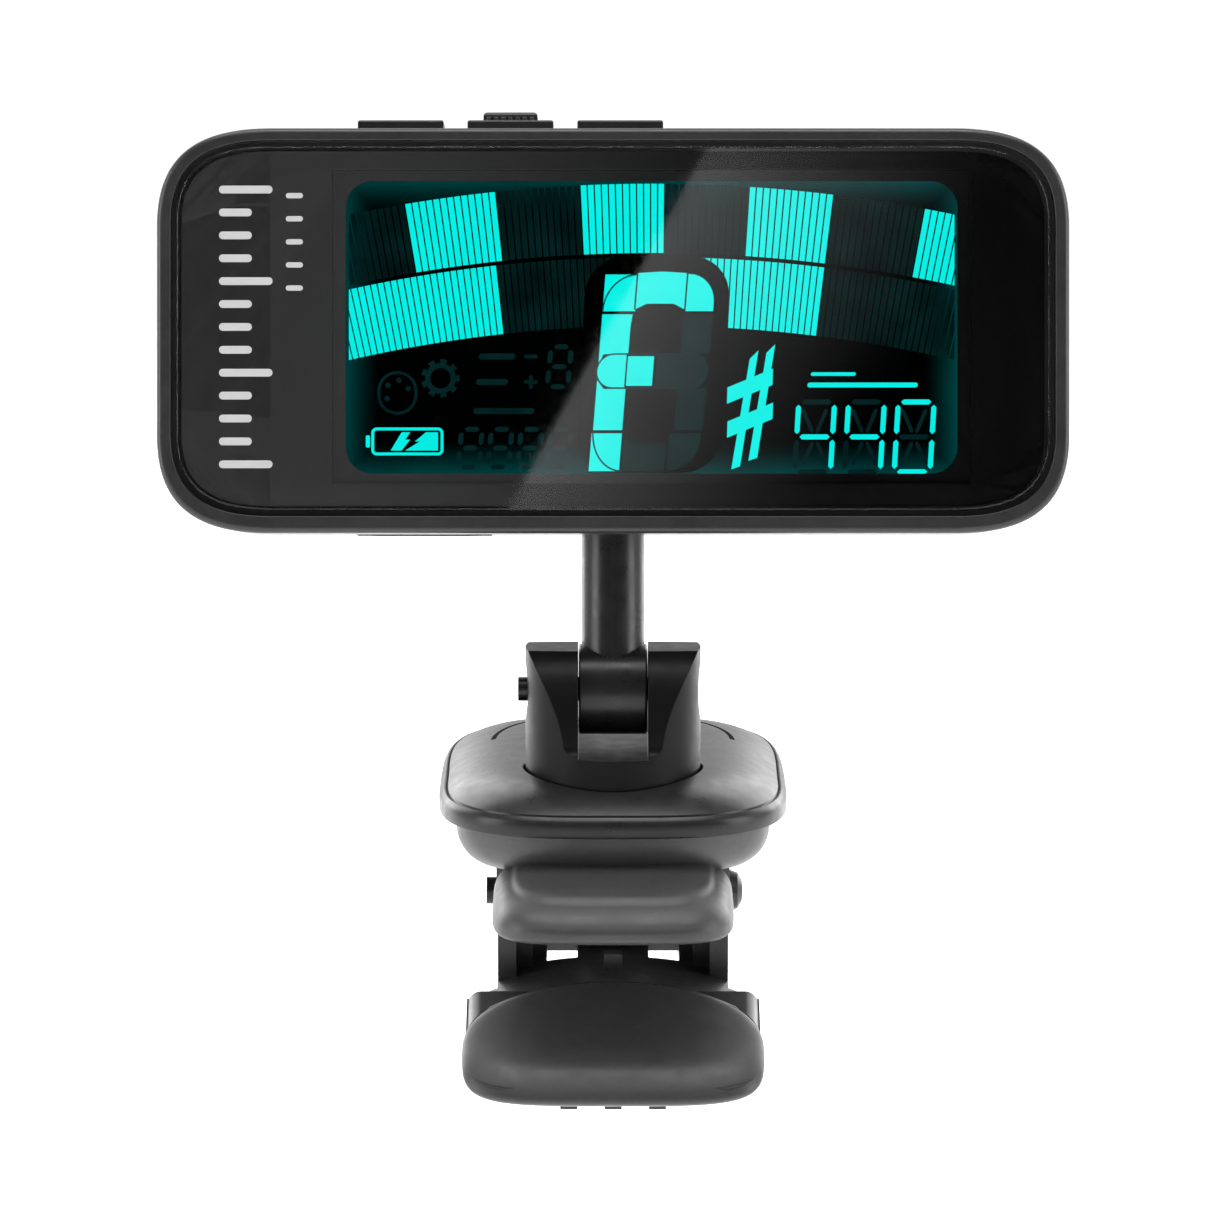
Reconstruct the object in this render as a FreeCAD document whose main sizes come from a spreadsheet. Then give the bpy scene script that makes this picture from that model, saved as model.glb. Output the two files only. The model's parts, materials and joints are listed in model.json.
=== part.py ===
import FreeCAD, Part
import math
import os
import re
import Sketcher

V = FreeCAD.Vector

# Driving sizes in millimetres (angles in degrees). The clip is drawn with the tilt pin's axis at the
# zero point and the head upright on it; each finished piece is then placed in the row's frame, whose
# zero point is the middle of the upper jaw pad's gripping face.
SIZES = {
    # placement
    "pin_back": 18.5, "pin_up": 17.3, "lean": 10.5,
    # head shell
    "head_wide": 75.0, "head_low": 12.85, "head_top": 46.15, "head_front": -7.0, "head_back": 6.0,
    "split": -3.5, "shell": 1.2, "curve_wide": 9.3, "curve_tall": 8.0, "front_round": 0.5,
    "back_round": 1.2,
    # window and frame
    "band_side": 1.15, "band_top": 1.0, "band_low": 1.4, "groove": 0.45,
    "window_front": -6.9, "window_back": -5.9, "tape_thick": 0.1, "ledge_back": -5.0,
    # display
    "lcd_x": 3.18, "lcd_z": 29.85, "lcd_wide": 54.0, "lcd_tall": 27.2, "lcd_back": -3.2,
    "look_wide": 52.6, "look_tall": 25.8, "guide_back": -1.6, "contact_strip": 2.4,
    "holder_wide": 56.0, "holder_tall": 28.2, "holder_gap": 0.1, "lip_thick": 0.6,
    "strip_long": 48.0, "strip_tall": 1.6,
    "contact_strip_up": 0.2, "holder_rim_side": 2.0, "holder_rim_end": 3.0, "window_round": 0.25,
    "tape_in": 0.4,
    # board and what it carries
    "board_wide": 62.0, "board_low": 16.6, "board_top": 43.6, "board_thick": 1.0,
    "chip_tall": 1.0, "cell_wide": 25.0, "cell_tall": 21.5, "cell_thick": 3.0, "cell_x": 15.5,
    "cell_z": 29.3, "cell_round": 0.6, "pad_thick": 0.5, "pad_in": 1.5,
    "piezo_x": -17.0, "piezo_z": 33.0, "piezo_r": 7.0, "piezo_thick": 0.35,
    "prop_x": 29.6, "prop_r": 1.0, "prop_in": 1.6,
    # charging port
    "port_x": -15.7, "port_y": 2.6, "port_wide": 8.94, "port_deep": 3.2, "port_low": 13.0,
    "port_long": 7.3, "port_wall": 0.3, "collar_wide": 11.2, "collar_deep": 4.4, "proud": 0.1,
    "collar_gap": 0.05, "tongue_wide": 6.7, "tongue_thick": 0.7,
    # case screws
    "screw_x": 33.5, "screw_z": 12.2, "boss_r": 2.1, "shank_r": 0.85, "screw_head_r": 1.6,
    "screw_head": 1.0, "slip": 0.05, "slot_long": 2.0, "slot_thick": 0.4, "slot_deep": 0.5,
    # buttons
    "left_x": -17.63, "centre_x": -8.52, "right_x": 0.6, "button_wide": 7.13, "button_deep": 4.6,
    "button_y": 1.0, "button_up": 1.1, "button_gap": 0.12, "flange_thick": 0.44, "flange_out": 0.9,
    "button_round": 0.2, "nub_wide": 4.5, "nub_deep": 3.6, "nub_up": 0.7, "nub_round": 0.35,
    "nub_rib_step": 0.6, "nub_rib_wide": 0.3, "nub_rib_out": 0.2, "nub_rib_up": 0.25, "nub_ribs": 7,
    "switch_wide": 4.6, "switch_deep": 2.0, "switch_tall": 2.4, "plunger_wide": 2.0,
    "plunger_tall": 0.5, "plunger_in": 0.4,
    # post, knuckle and pin
    "post_r": 2.615, "neck_r": 1.8, "knuckle_r": 3.75, "knuckle_wide": 5.7, "pin_r": 1.0,
    "pin_slip": 0.03, "pin_left": 7.9, "pin_right": 6.5, "washer_r": 3.6, "washer_thick": 0.3,
    "nut_flats": 6.0, "nut_thick": 1.2, "neck_over": 0.1,
    # turret
    "turret_r": 7.3, "ear_top": 3.6, "slot_wide": 5.8, "slot_floor": -4.7, "seat": -7.6,
    "shoulder": -4.5, "ear_foot": 6.1, "ear_tall": 8.7, "ear_long": 40.0,
    "ear_foot_round": 0.9, "dish_r": 9.0, "dish_deep": 0.4, "stem_r": 2.93, "stem_gap": 0.07,
    "seat_gap": 0.2, "roof_under": -9.1, "wave_thick": 0.3, "keep_thick": 0.5, "keep_r": 5.2,
    "swivel_head_r": 1.7, "swivel_head": 0.8, "swivel_shank_r": 0.9, "swivel_long": 3.6,
    # far levels that a cutting block passes right through to
    "far_low": -40.0, "far_high": -10.0,
    # cap
    "cap_half": 14.35, "cap_front": -11.1, "cap_rear": 29.5, "cap_bow": 18.7, "cap_front_round": 7.5,
    "cap_rear_round": 8.0, "cap_low": -10.4, "rim_step": 0.3, "rim_wide": 0.6, "dome_y": 9.0,
    "dome_top": -6.4, "dome_x": 36.0, "dome_long": 50.0, "dome_tall": 14.5, "cap_wall": 1.73,
    "cap_inside": -9.8, "mark_r": 10.1, "mark_y": 12.6, "mark_wide": 0.35, "mark_deep": 0.3,
    "lug_screw_y": -7.15, "rear_screw_x": 7.5, "rear_screw_y": 23.5, "cap_boss_r": 1.9,
    "cap_screw_top": -8.9,
    # upper arm
    "bowl_in": 1.3, "bowl_low": -14.5, "bowl_round": 3.2, "bowl_wall": 1.6, "bowl_floor": -13.0,
    "hinge_y": 4.0, "hinge_z": -18.15, "axle_r": 1.14, "axle_slip": 0.04, "lug_in": 8.3,
    "lug_out": 9.78, "lug_r": 3.4, "beam_half": 8.0, "beam_low": -15.5, "beam_root": -9.2, "beam_rear": 1.0,
    "tongue_front": -16.0, "tongue_rear": -4.0, "tongue_top": -15.3, "tongue_low": -16.4,
    "axle_left": 10.65, "axle_head_r": 1.8, "axle_head": 1.2,
    # jaw pads
    "pad_half": 9.4, "pad_front": 9.5, "pad_rear": 27.5, "seat_low": -15.0, "grip_up": -17.3,
    "grip_low": -19.8, "jaw_top": -22.3, "pad_round": 2.5, "rib_deep": 0.5, "rib_wide": 1.0,
    "rib_step": 2.6, "rib_edge": 1.2, "rib_count": 6,
    # finger pads
    "finger_half": 9.65, "finger_tip": -19.5, "finger_root": -5.0, "finger_low": -17.4,
    "finger_round": 4.0, "finger_top": -13.1, "finger_bend_y": -9.5, "finger_bend": -13.7,
    "finger_nose_y": -18.0, "finger_nose": -14.9, "finger_edge": -16.1, "finger_soft": 0.5,
    "scoop_y": -17.5, "scoop_r": 30.0, "scoop_floor": -15.25,
    "paddle_half": 12.1, "paddle_tip": -20.0, "paddle_root": -7.5, "paddle_low": -30.9,
    "crest_y": -6.5, "crest_z": -23.3, "tip_top": -28.2, "grip_thick": 1.0, "arc_r": 16.3,
    "flank_drop": 0.35, "flank_round": 1.2, "arch_round": 1.0, "paddle_round": 4.0, "floor_bend_y": -6.0,
    "floor_bend": -27.4, "floor_rear_y": 2.0, "rib_x": 3.6, "rib_tip_wide": 1.4, "rib_tip_down": 0.3,
    "rib_tip_in": 1.8, "rib_tip_long": 3.0, "hull_round": 3.5,
    # lower arm
    "box_half": 10.7, "box_front": -12.0, "box_step": -4.0, "box_rear": 14.0, "arch_r": 37.9,
    "arch_top": -23.4,
    "jaw_half": 9.6, "jaw_front": 11.0, "jaw_rear": 29.0, "jaw_round": 3.0, "jaw_low": -25.6,
    "inner_in": 6.8, "inner_out": 8.2, "inner_r": 2.5, "inner_foot": 1.4, "cheek_out": 9.64,
    "cheek_front": -1.5, "cheek_foot": 2.0, "cheek_gap": 0.3,
    "cheek_top": -20.6, "turn_gap": 0.1, "gate_in": 3.0, "gate_out": 5.6, "gate_front": 2.2,
    "gate_rear": 13.0, "stop_half": 0.75, "stop_front": -2.5, "stop_rear": -1.0, "stop_top": -22.1,
    # spring
    "coil_r": 2.0, "wire_r": 0.6, "coil_pitch": 1.3, "coil_turns": 4.5, "leg_up": 7.0, "leg_down": 7.5,
    "leg_tilt": 16.0,
}

doc = FreeCAD.newDocument("clip_on_tuner")
sheet = doc.addObject("Spreadsheet::Sheet", "dims")
for row, (alias, size) in enumerate(SIZES.items(), start=1):
    sheet.set(f"A{row}", alias)
    sheet.set(f"B{row}", str(size))
    sheet.setAlias(f"B{row}", alias)
doc.recompute()

# each chip on the board: its place across and up, its width and height, and its share of chip_tall
CHIPS = (
    (-23.0, 30.0, 7.0, 7.0, 1.0), (-12.0, 38.0, 5.0, 4.0, 1.0), (-6.0, 24.0, 3.0, 3.0, 0.8),
    (-9.0, 31.0, 3.2, 1.6, 0.7), (-26.0, 22.5, 2.0, 1.25, 0.6), (-2.0, 36.0, 2.0, 1.25, 0.6),
)

WORD = re.compile(r"[a-z_]+")
DONE = []


def ex(text):
    """The expression with each sheet alias in it written as FreeCAD needs it."""
    return WORD.sub(lambda found: "dims." + found.group(0) if found.group(0) in SIZES else found.group(0),
                    str(text))


def num(text):
    """The number an expression in sheet aliases comes to."""
    return float(sheet.evalExpression(ex(text)))


def bind(item, **rules):
    for prop, rule in rules.items():
        item.setExpression(prop, ex(rule))


def locate(item, corner):
    """Binds the piece's position to three expressions."""
    for axis, rule in zip("xyz", corner):
        item.setExpression(f"Placement.Base.{axis}", ex(rule))


def box(name, low, high):
    """A box from its low corner to its high corner, each given as three expressions."""
    item = doc.addObject("Part::Box", name)
    for side, a, b in zip(("Length", "Width", "Height"), low, high):
        item.setExpression(side, ex(f"({b}) - ({a})"))
    locate(item, low)
    return item


TURN = {
    "x": FreeCAD.Rotation(V(0, 1, 0), 90),
    "y": FreeCAD.Rotation(V(1, 0, 0), -90),
    "z": FreeCAD.Rotation(),
}


def rod(name, start, along, radius, length):
    """A cylinder from its start point along +X, +Y or +Z."""
    item = doc.addObject("Part::Cylinder", name)
    bind(item, Radius=radius, Height=length)
    item.Placement = FreeCAD.Placement(V(), TURN[along])
    locate(item, start)
    return item


def fuse(name, *items):
    item = doc.addObject("Part::MultiFuse", name)
    item.Shapes = list(items)
    return item


def both(name, first, second):
    item = doc.addObject("Part::Common", name)
    item.Base = first
    item.Tool = second
    return item


def cut(name, base, *tools):
    """The base with every tool taken away."""
    item = doc.addObject("Part::Cut", name)
    item.Base = base
    item.Tool = tools[0] if len(tools) == 1 else fuse(name + "_tools", *tools)
    return item


def along_axis(edge, axis):
    """True for a straight edge parallel to the axis."""
    if not isinstance(edge.Curve, Part.Line):
        return False
    return abs(abs(edge.Curve.Direction.dot(axis)) - 1) < 1e-6


def rounded(name, base, radius, pick):
    """A fillet on the edges of the base that pick accepts."""
    doc.recompute()
    item = doc.addObject("Part::Fillet", name)
    item.Base = base
    chosen = [n for n, edge in enumerate(base.Shape.Edges, start=1) if pick(edge)]
    item.Edges = [(n, num(radius), num(radius)) for n in chosen]
    doc.recompute()
    return item


def sketch_on(body, name, role):
    """A sketch on one of the body's origin planes."""
    plane = next(f for f in body.Origin.OriginFeatures if f.Role == role)
    drawing = body.newObject("Sketcher::SketchObject", name)
    drawing.AttachmentSupport = [(plane, "")]
    drawing.MapMode = "FlatFace"
    return drawing


def fix_point(drawing, geo, pos, point):
    """Holds a sketch point at two expressions."""
    for kind, axis, rule in (("DistanceX", -2, point[0]), ("DistanceY", -1, point[1])):
        size = num(rule)
        if abs(size) < 1e-9:
            drawing.addConstraint(Sketcher.Constraint("PointOnObject", geo, pos, axis))
        else:
            rank = drawing.addConstraint(Sketcher.Constraint(kind, -1, 1, geo, pos, size))
            drawing.setExpression(f"Constraints[{rank}]", ex(rule))


def polygon(drawing, points):
    """A closed outline of straight lines through points given as pairs of expressions."""
    places = [V(num(a), num(b), 0) for a, b in points]
    first = drawing.GeometryCount
    for n, place in enumerate(places):
        drawing.addGeometry(Part.LineSegment(place, places[(n + 1) % len(places)]), False)
    for n, point in enumerate(points):
        after = first + (n + 1) % len(points)
        drawing.addConstraint(Sketcher.Constraint("Coincident", first + n, 2, after, 1))
        fix_point(drawing, first + n, 1, point)


def circle(drawing, centre, radius):
    place = V(num(centre[0]), num(centre[1]), 0)
    geo = drawing.addGeometry(Part.Circle(place, V(0, 0, 1), num(radius)), False)
    fix_point(drawing, geo, 3, centre)
    rank = drawing.addConstraint(Sketcher.Constraint("Radius", geo, num(radius)))
    drawing.setExpression(f"Constraints[{rank}]", ex(radius))


def new_body(name):
    return doc.addObject("PartDesign::Body", name)


def pad(body, name, drawing, length, reversed_way=False):
    item = body.newObject("PartDesign::Pad", name)
    item.Profile = drawing
    item.setExpression("Length", ex(length))
    item.Reversed = reversed_way
    drawing.Visibility = False
    return item


def plate_body(name, role, points, length, start=None, reversed_way=False):
    """A body padded from a polygon; start moves the sketch off its plane."""
    body = new_body(name)
    drawing = sketch_on(body, name + "_outline", role)
    if start is not None:
        drawing.setExpression("AttachmentOffset.Base.z", ex(start))
    polygon(drawing, points)
    pad(body, name + "_pad", drawing, length, reversed_way)
    return body


def turned_body(name, role, points, axis):
    """A body turned from a half outline about its sketch's own axis."""
    body = new_body(name)
    drawing = sketch_on(body, name + "_outline", role)
    polygon(drawing, points)
    item = body.newObject("PartDesign::Revolution", name + "_turn")
    item.Profile = drawing
    item.ReferenceAxis = (drawing, [axis])
    item.Angle = 360
    return body


def finish(item, label, group):
    """Names a finished piece and puts it in the row's frame."""
    item.Label = label
    DONE.append((item, label, group))
    return item


# ---------------------------------------------------------------- head shell


def head_outline(name, side, top, low, y):
    """A flat face with the head's soft-cornered outline, set in by the side, top and low insets."""
    half = num(f"head_wide / 2 - ({side})")
    up = num(f"head_top - ({top})")
    down = num(f"head_low + ({low})")
    wide = num(f"curve_wide - ({side})")
    tall = num(f"curve_tall - (({top}) + ({low})) / 2")
    depth = num(y)
    pull = 0.688
    edges = []
    ends = []
    for sx, edge_z, sz in ((1, up, 1), (1, down, -1), (-1, down, -1), (-1, up, 1)):
        flat = V(sx * (half - wide), depth, edge_z)
        upright = V(sx * half, depth, edge_z - sz * tall)
        bend = Part.BezierCurve()
        poles = [
            flat,
            flat + V(sx * wide * pull, 0, 0),
            upright + V(0, 0, sz * tall * pull),
            upright,
        ]
        if sx * sz < 0:
            poles.reverse()
        bend.setPoles(poles)
        edges.append(bend.toShape())
        ends.append((poles[0], poles[-1]))
    lines = []
    for n in range(4):
        lines.append(Part.makeLine(ends[n][1], ends[(n + 1) % 4][0]))
    ordered = [piece for pair in zip(edges, lines) for piece in pair]
    item = doc.addObject("Part::Feature", name)
    item.Shape = Part.Face(Part.Wire(ordered))
    return item


def prism(name, profile, direction, length):
    """A profile extruded along a direction."""
    item = doc.addObject("Part::Extrusion", name)
    item.Base = profile
    item.DirMode = "Custom"
    item.Dir = direction
    item.Solid = True
    item.setExpression("LengthFwd", ex(length))
    return item


def head_prism(name, side, top, low, front, back):
    face = head_outline(name + "_face", side, top, low, front)
    return prism(name, face, V(0, 1, 0), f"({back}) - ({front})")


def centred(name, x, z, wide, tall, front, back):
    """A box centred on x and z between two depths."""
    return box(
        name,
        (f"({x}) - ({wide}) / 2", front, f"({z}) - ({tall}) / 2"),
        (f"({x}) + ({wide}) / 2", back, f"({z}) + ({tall}) / 2"),
    )


def screw_places():
    middle = "(head_low + head_top) / 2"
    for tag, sx, sz in (("a", "", ""), ("b", "-", ""), ("c", "", "-"), ("d", "-", "-")):
        yield tag, f"{sx}screw_x", f"{middle} + ({sz}screw_z)"


def at_depth(edge, depth):
    """True for an edge lying wholly in the plane at this y."""
    return all(abs(v.Y - depth) < 1e-4 for v in edge.Vertexes) and abs(edge.CenterOfMass.y - depth) < 1e-4


def front_bezel():
    outer = head_prism("bezel_outer", 0, 0, 0, "head_front", "split")
    soft = rounded("bezel_soft", outer, "front_round", lambda e: at_depth(e, num("head_front")))
    opening = head_prism("bezel_opening", "band_side", "band_top", "band_low",
                         "head_front - 1", "window_back + tape_thick")
    look = centred("bezel_look", "lcd_x", "lcd_z", "look_wide", "look_tall", "head_front", "ledge_back")
    inside = head_prism("bezel_inside", "shell", "shell", "shell", "ledge_back", "split + 1")
    hollow = cut("bezel_hollow", soft, opening, look, inside)
    bosses = []
    bores = []
    for tag, x, z in screw_places():
        bosses.append(rod(f"bezel_boss_{tag}", (x, "ledge_back", z), "y", "boss_r", "split - ledge_back"))
        bores.append(rod(f"bezel_bore_{tag}", (x, "ledge_back", z), "y", "shank_r", "split - ledge_back"))
    whole = fuse("bezel_whole", hollow, *bosses)
    finish(cut("front_bezel", whole, *bores), "front_bezel", "head")


def button_names():
    return (("left", "left_x"), ("centre", "centre_x"), ("right", "right_x"))


def rear_cover():
    outer = head_prism("cover_outer", 0, 0, 0, "split", "head_back")
    soft = rounded("cover_soft", outer, "back_round", lambda e: at_depth(e, num("head_back")))
    inside = head_prism("cover_inside", "shell", "shell", "shell", "split - 1", "head_back - shell")
    hollow = cut("cover_hollow", soft, inside)
    extras = []
    tools = []
    for tag, x, z in screw_places():
        extras.append(rod(f"cover_boss_{tag}", (x, "split", z), "y", "boss_r", "head_back - split - 0.2"))
        tools.append(rod(f"cover_bore_{tag}", (x, "split - 1", z), "y", "shank_r + slip", "12"))
        tools.append(rod(f"cover_sink_{tag}", (x, "head_back - screw_head - slip", z), "y",
                         "screw_head_r + slip", "2"))
    for tag, sx, z in (("a", "", "board_low + prop_in"), ("b", "-", "board_low + prop_in"),
                       ("c", "", "board_top - prop_in"), ("d", "-", "board_top - prop_in")):
        extras.append(rod(f"cover_prop_{tag}", (f"{sx}prop_x", "board_thick", z), "y", "prop_r",
                          "head_back - shell - board_thick + 0.2"))
    for tag, x in button_names():
        tools.append(box(
            f"cover_gate_{tag}",
            (f"{x} - button_wide / 2 - button_gap", "button_y - button_deep / 2 - button_gap",
             "head_top - 2"),
            (f"{x} + button_wide / 2 + button_gap", "button_y + button_deep / 2 + button_gap",
             "head_top + 1"),
        ))
    tools.append(rod("cover_neck", ("0", "0", "head_low - 1"), "z", "neck_r", "4"))
    tools.append(centred_low("cover_port", "collar_wide", "collar_deep", "head_low - 1",
                             "head_low + shell + 0.5"))
    whole = fuse("cover_whole", hollow, *extras)
    finish(cut("rear_cover", whole, *tools), "rear_cover", "head")


def centred_low(name, wide, deep, low, high):
    """A box centred on the charging port between two heights."""
    return box(
        name,
        (f"port_x - ({wide}) / 2", f"port_y - ({deep}) / 2", low),
        (f"port_x + ({wide}) / 2", f"port_y + ({deep}) / 2", high),
    )


def display_window():
    plate = head_prism("window_plate", "band_side + groove", "band_top + groove", "band_low + groove",
                       "window_front", "window_back")
    finish(rounded("display_window", plate, "window_round", lambda e: at_depth(e, num("window_front"))),
           "display_window", "head")


def window_tape():
    sheet_face = head_prism("tape_sheet", "band_side + groove + tape_in", "band_top + groove + tape_in",
                            "band_low + groove + tape_in", "window_back", "window_back + tape_thick")
    look = centred("tape_look", "lcd_x", "lcd_z", "look_wide", "look_tall", "window_back - 1",
                   "window_back + 1")
    finish(cut("window_tape", sheet_face, look), "window_tape", "head")


def rect_body(name, x, z, wide, tall, front, back):
    """A plain plate standing in the XZ plane, padded along +Y from its front to its back."""
    points = [
        (f"({x}) - ({wide}) / 2", f"({z}) - ({tall}) / 2"),
        (f"({x}) + ({wide}) / 2", f"({z}) - ({tall}) / 2"),
        (f"({x}) + ({wide}) / 2", f"({z}) + ({tall}) / 2"),
        (f"({x}) - ({wide}) / 2", f"({z}) + ({tall}) / 2"),
    ]
    return plate_body(name, "XZ_Plane", points, f"({back}) - ({front})", f"-({front})", True)


def display_stack():
    finish(rect_body("lcd_panel", "lcd_x", "lcd_z", "lcd_wide", "lcd_tall", "ledge_back", "lcd_back"),
           "lcd_panel", "head")
    finish(rect_body("light_guide", "lcd_x", "lcd_z + contact_strip / 2", "lcd_wide",
                     "lcd_tall - contact_strip", "lcd_back", "guide_back"), "light_guide", "head")
    finish(rect_body("zebra_strip", "lcd_x", "lcd_z - lcd_tall / 2 + contact_strip_up + strip_tall / 2",
                     "strip_long", "strip_tall", "lcd_back", "0"), "zebra_strip", "head")


def lcd_holder():
    outer = centred("holder_outer", "lcd_x", "lcd_z", "holder_wide", "holder_tall", "ledge_back", "0")
    inner = centred("holder_inner", "lcd_x", "lcd_z", "lcd_wide + 2 * holder_gap",
                    "lcd_tall + 2 * holder_gap", "ledge_back - 1", "guide_back")
    back = centred("holder_back", "lcd_x", "lcd_z", "lcd_wide - 2 * holder_rim_side",
                   "lcd_tall - 2 * holder_rim_end", "guide_back - 1", "1")
    rear = centred("holder_rear", "lcd_x", "lcd_z", "lcd_wide + 2 * holder_gap",
                   "lcd_tall + 2 * holder_gap", "guide_back + lip_thick", "1")
    slot = centred("holder_slot", "lcd_x", "lcd_z - lcd_tall / 2 + contact_strip_up + strip_tall / 2",
                   "strip_long + 0.2", "strip_tall + 0.2", "guide_back - 1", "1")
    finish(cut("lcd_holder", outer, inner, back, rear, slot), "lcd_holder", "head")


def main_board():
    wide = "board_wide / 2"
    points = [
        (f"-{wide}", "board_low"), (wide, "board_low"), (wide, "board_top"), (f"-{wide}", "board_top"),
    ]
    board = plate_body("main_board", "XZ_Plane", points, "board_thick", "0", True)
    finish(board, "main_board", "head")
    chips = []
    for n, (x, z, chip_wide, chip_long, share) in enumerate(CHIPS):
        chips.append(centred(f"chip_{n}", f"{x}", f"{z}", f"{chip_wide}", f"{chip_long}", "board_thick",
                             f"board_thick + chip_tall * {share}"))
    finish(fuse("board_chips", *chips), "board_chips", "head")


def battery():
    front = "board_thick + pad_thick"
    cell = centred("cell_block", "cell_x", "cell_z", "cell_wide", "cell_tall", front,
                   "board_thick + pad_thick + cell_thick")
    soft = rounded("battery_pack", cell, "cell_round", lambda e: along_axis(e, V(0, 0, 1)))
    finish(soft, "battery_pack", "head")
    finish(rect_body("battery_pad", "cell_x", "cell_z", "cell_wide - 2 * pad_in",
                     "cell_tall - 2 * pad_in", "board_thick", front), "battery_pad", "head")


def piezo():
    finish(rod("piezo_disc", ("piezo_x", "head_back - shell - piezo_thick", "piezo_z"), "y", "piezo_r",
               "piezo_thick"), "piezo_disc", "head")


def stadium(name, wide, deep, low, high):
    """A block round the port with half-round ends."""
    plain = centred_low(name + "_block", wide, deep, low, high)
    radius = f"({deep}) / 2 - 0.01"
    return rounded(name, plain, radius, lambda e: along_axis(e, V(0, 0, 1)))


def charging_port():
    top = "port_low + port_long"
    shell = stadium("port_shell", "port_wide", "port_deep", "port_low", top)
    mouth = stadium("port_mouth", "port_wide - 2 * port_wall", "port_deep - 2 * port_wall",
                    "port_low - 1", f"{top} - 1")
    tongue = centred_low("port_tongue", "tongue_wide", "tongue_thick", "port_low + 1", f"{top} - 0.5")
    finish(fuse("usb_c_socket", cut("port_hollow", shell, mouth), tongue), "usb_c_socket", "head")
    block = centred_low("collar_block", "collar_wide", "collar_deep", "head_low - proud",
                        "head_low + shell")
    gate = stadium("collar_gate", "port_wide + 2 * collar_gap", "port_deep + 2 * collar_gap",
                   "head_low - 2", "head_low + 4")
    finish(cut("port_surround", block, gate), "port_surround", "head")


def case_screws():
    screws = []
    for tag, x, z in screw_places():
        head = rod(f"case_head_{tag}", (x, "head_back - screw_head", z), "y", "screw_head_r", "screw_head")
        shank = rod(f"case_shank_{tag}", (x, "ledge_back + 0.2", z), "y", "shank_r",
                    "head_back - screw_head - ledge_back - 0.2")
        whole = fuse(f"case_screw_{tag}", head, shank)
        flat = centred(f"case_slot_{tag}", x, z, "slot_long", "slot_thick", "head_back - slot_deep",
                       "head_back + 1")
        upright = centred(f"case_cross_{tag}", x, z, "slot_thick", "slot_long", "head_back - slot_deep",
                          "head_back + 1")
        screws.append(cut(f"case_cut_{tag}", whole, flat, upright))
    finish(fuse("case_screws", *screws), "case_screws", "head")


def button(tag, x):
    half = "button_wide / 2"
    deep = "button_deep / 2"
    inner = "head_top - shell"
    cap = box(f"{tag}_cap", (f"{x} - {half}", f"button_y - {deep}", f"{inner} - flange_thick"),
              (f"{x} + {half}", f"button_y + {deep}", "head_top + button_up"))
    soft = rounded(f"{tag}_soft", cap, "button_round",
                   lambda e: min(v.Z for v in e.Vertexes) > num("head_top") + 0.1)
    flange = box(f"{tag}_flange",
                 (f"{x} - {half} - flange_out / 2", f"button_y - {deep} - flange_out",
                  f"{inner} - flange_thick - 0.01"),
                 (f"{x} + {half} + flange_out / 2", f"button_y + {deep} + flange_out", f"{inner} - 0.01"))
    parts = [soft, flange]
    if tag == "centre":
        nub = box("nub_block", (f"{x} - nub_wide / 2", "button_y - nub_deep / 2", "head_top + button_up"),
                  (f"{x} + nub_wide / 2", "button_y + nub_deep / 2",
                   "head_top + button_up + nub_up"))
        parts.append(rounded("nub_soft", nub, "nub_round",
                             lambda e: min(v.Z for v in e.Vertexes) > num("head_top + button_up + 0.3")))
        for n in range(int(num("nub_ribs"))):
            place = f"{x} + ({n} - (nub_ribs - 1) / 2) * nub_rib_step"
            parts.append(box(f"nub_rib_{n}",
                             (f"{place} - nub_rib_wide / 2", "button_y - nub_deep / 2 - nub_rib_out",
                              "head_top + button_up - 0.05"),
                             (f"{place} + nub_rib_wide / 2", "button_y + nub_deep / 2 + nub_rib_out",
                              "head_top + button_up + nub_rib_up")))
    finish(fuse(f"{tag}_button", *parts), f"{tag}_button", "head")


def switches():
    parts = []
    for tag, x in button_names():
        parts.append(box(f"switch_{tag}",
                         (f"{x} - switch_wide / 2", "board_thick", "board_top - switch_tall"),
                         (f"{x} + switch_wide / 2", "board_thick + switch_deep", "board_top")))
        parts.append(box(f"plunger_{tag}",
                         (f"{x} - plunger_wide / 2", "board_thick + plunger_in", "board_top - 0.1"),
                         (f"{x} + plunger_wide / 2", "board_thick + switch_deep - plunger_in",
                          "board_top + plunger_tall")))
    finish(fuse("tact_switches", *parts), "tact_switches", "head")


# ---------------------------------------------------------------- post and turret


def ring_body(name, inner, outer, low, thick):
    """A flat ring about the vertical axis."""
    points = [(inner, low), (outer, low), (outer, f"({low}) + ({thick})"), (inner, f"({low}) + ({thick})")]
    return turned_body(name, "XZ_Plane", points, "V_Axis")


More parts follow.
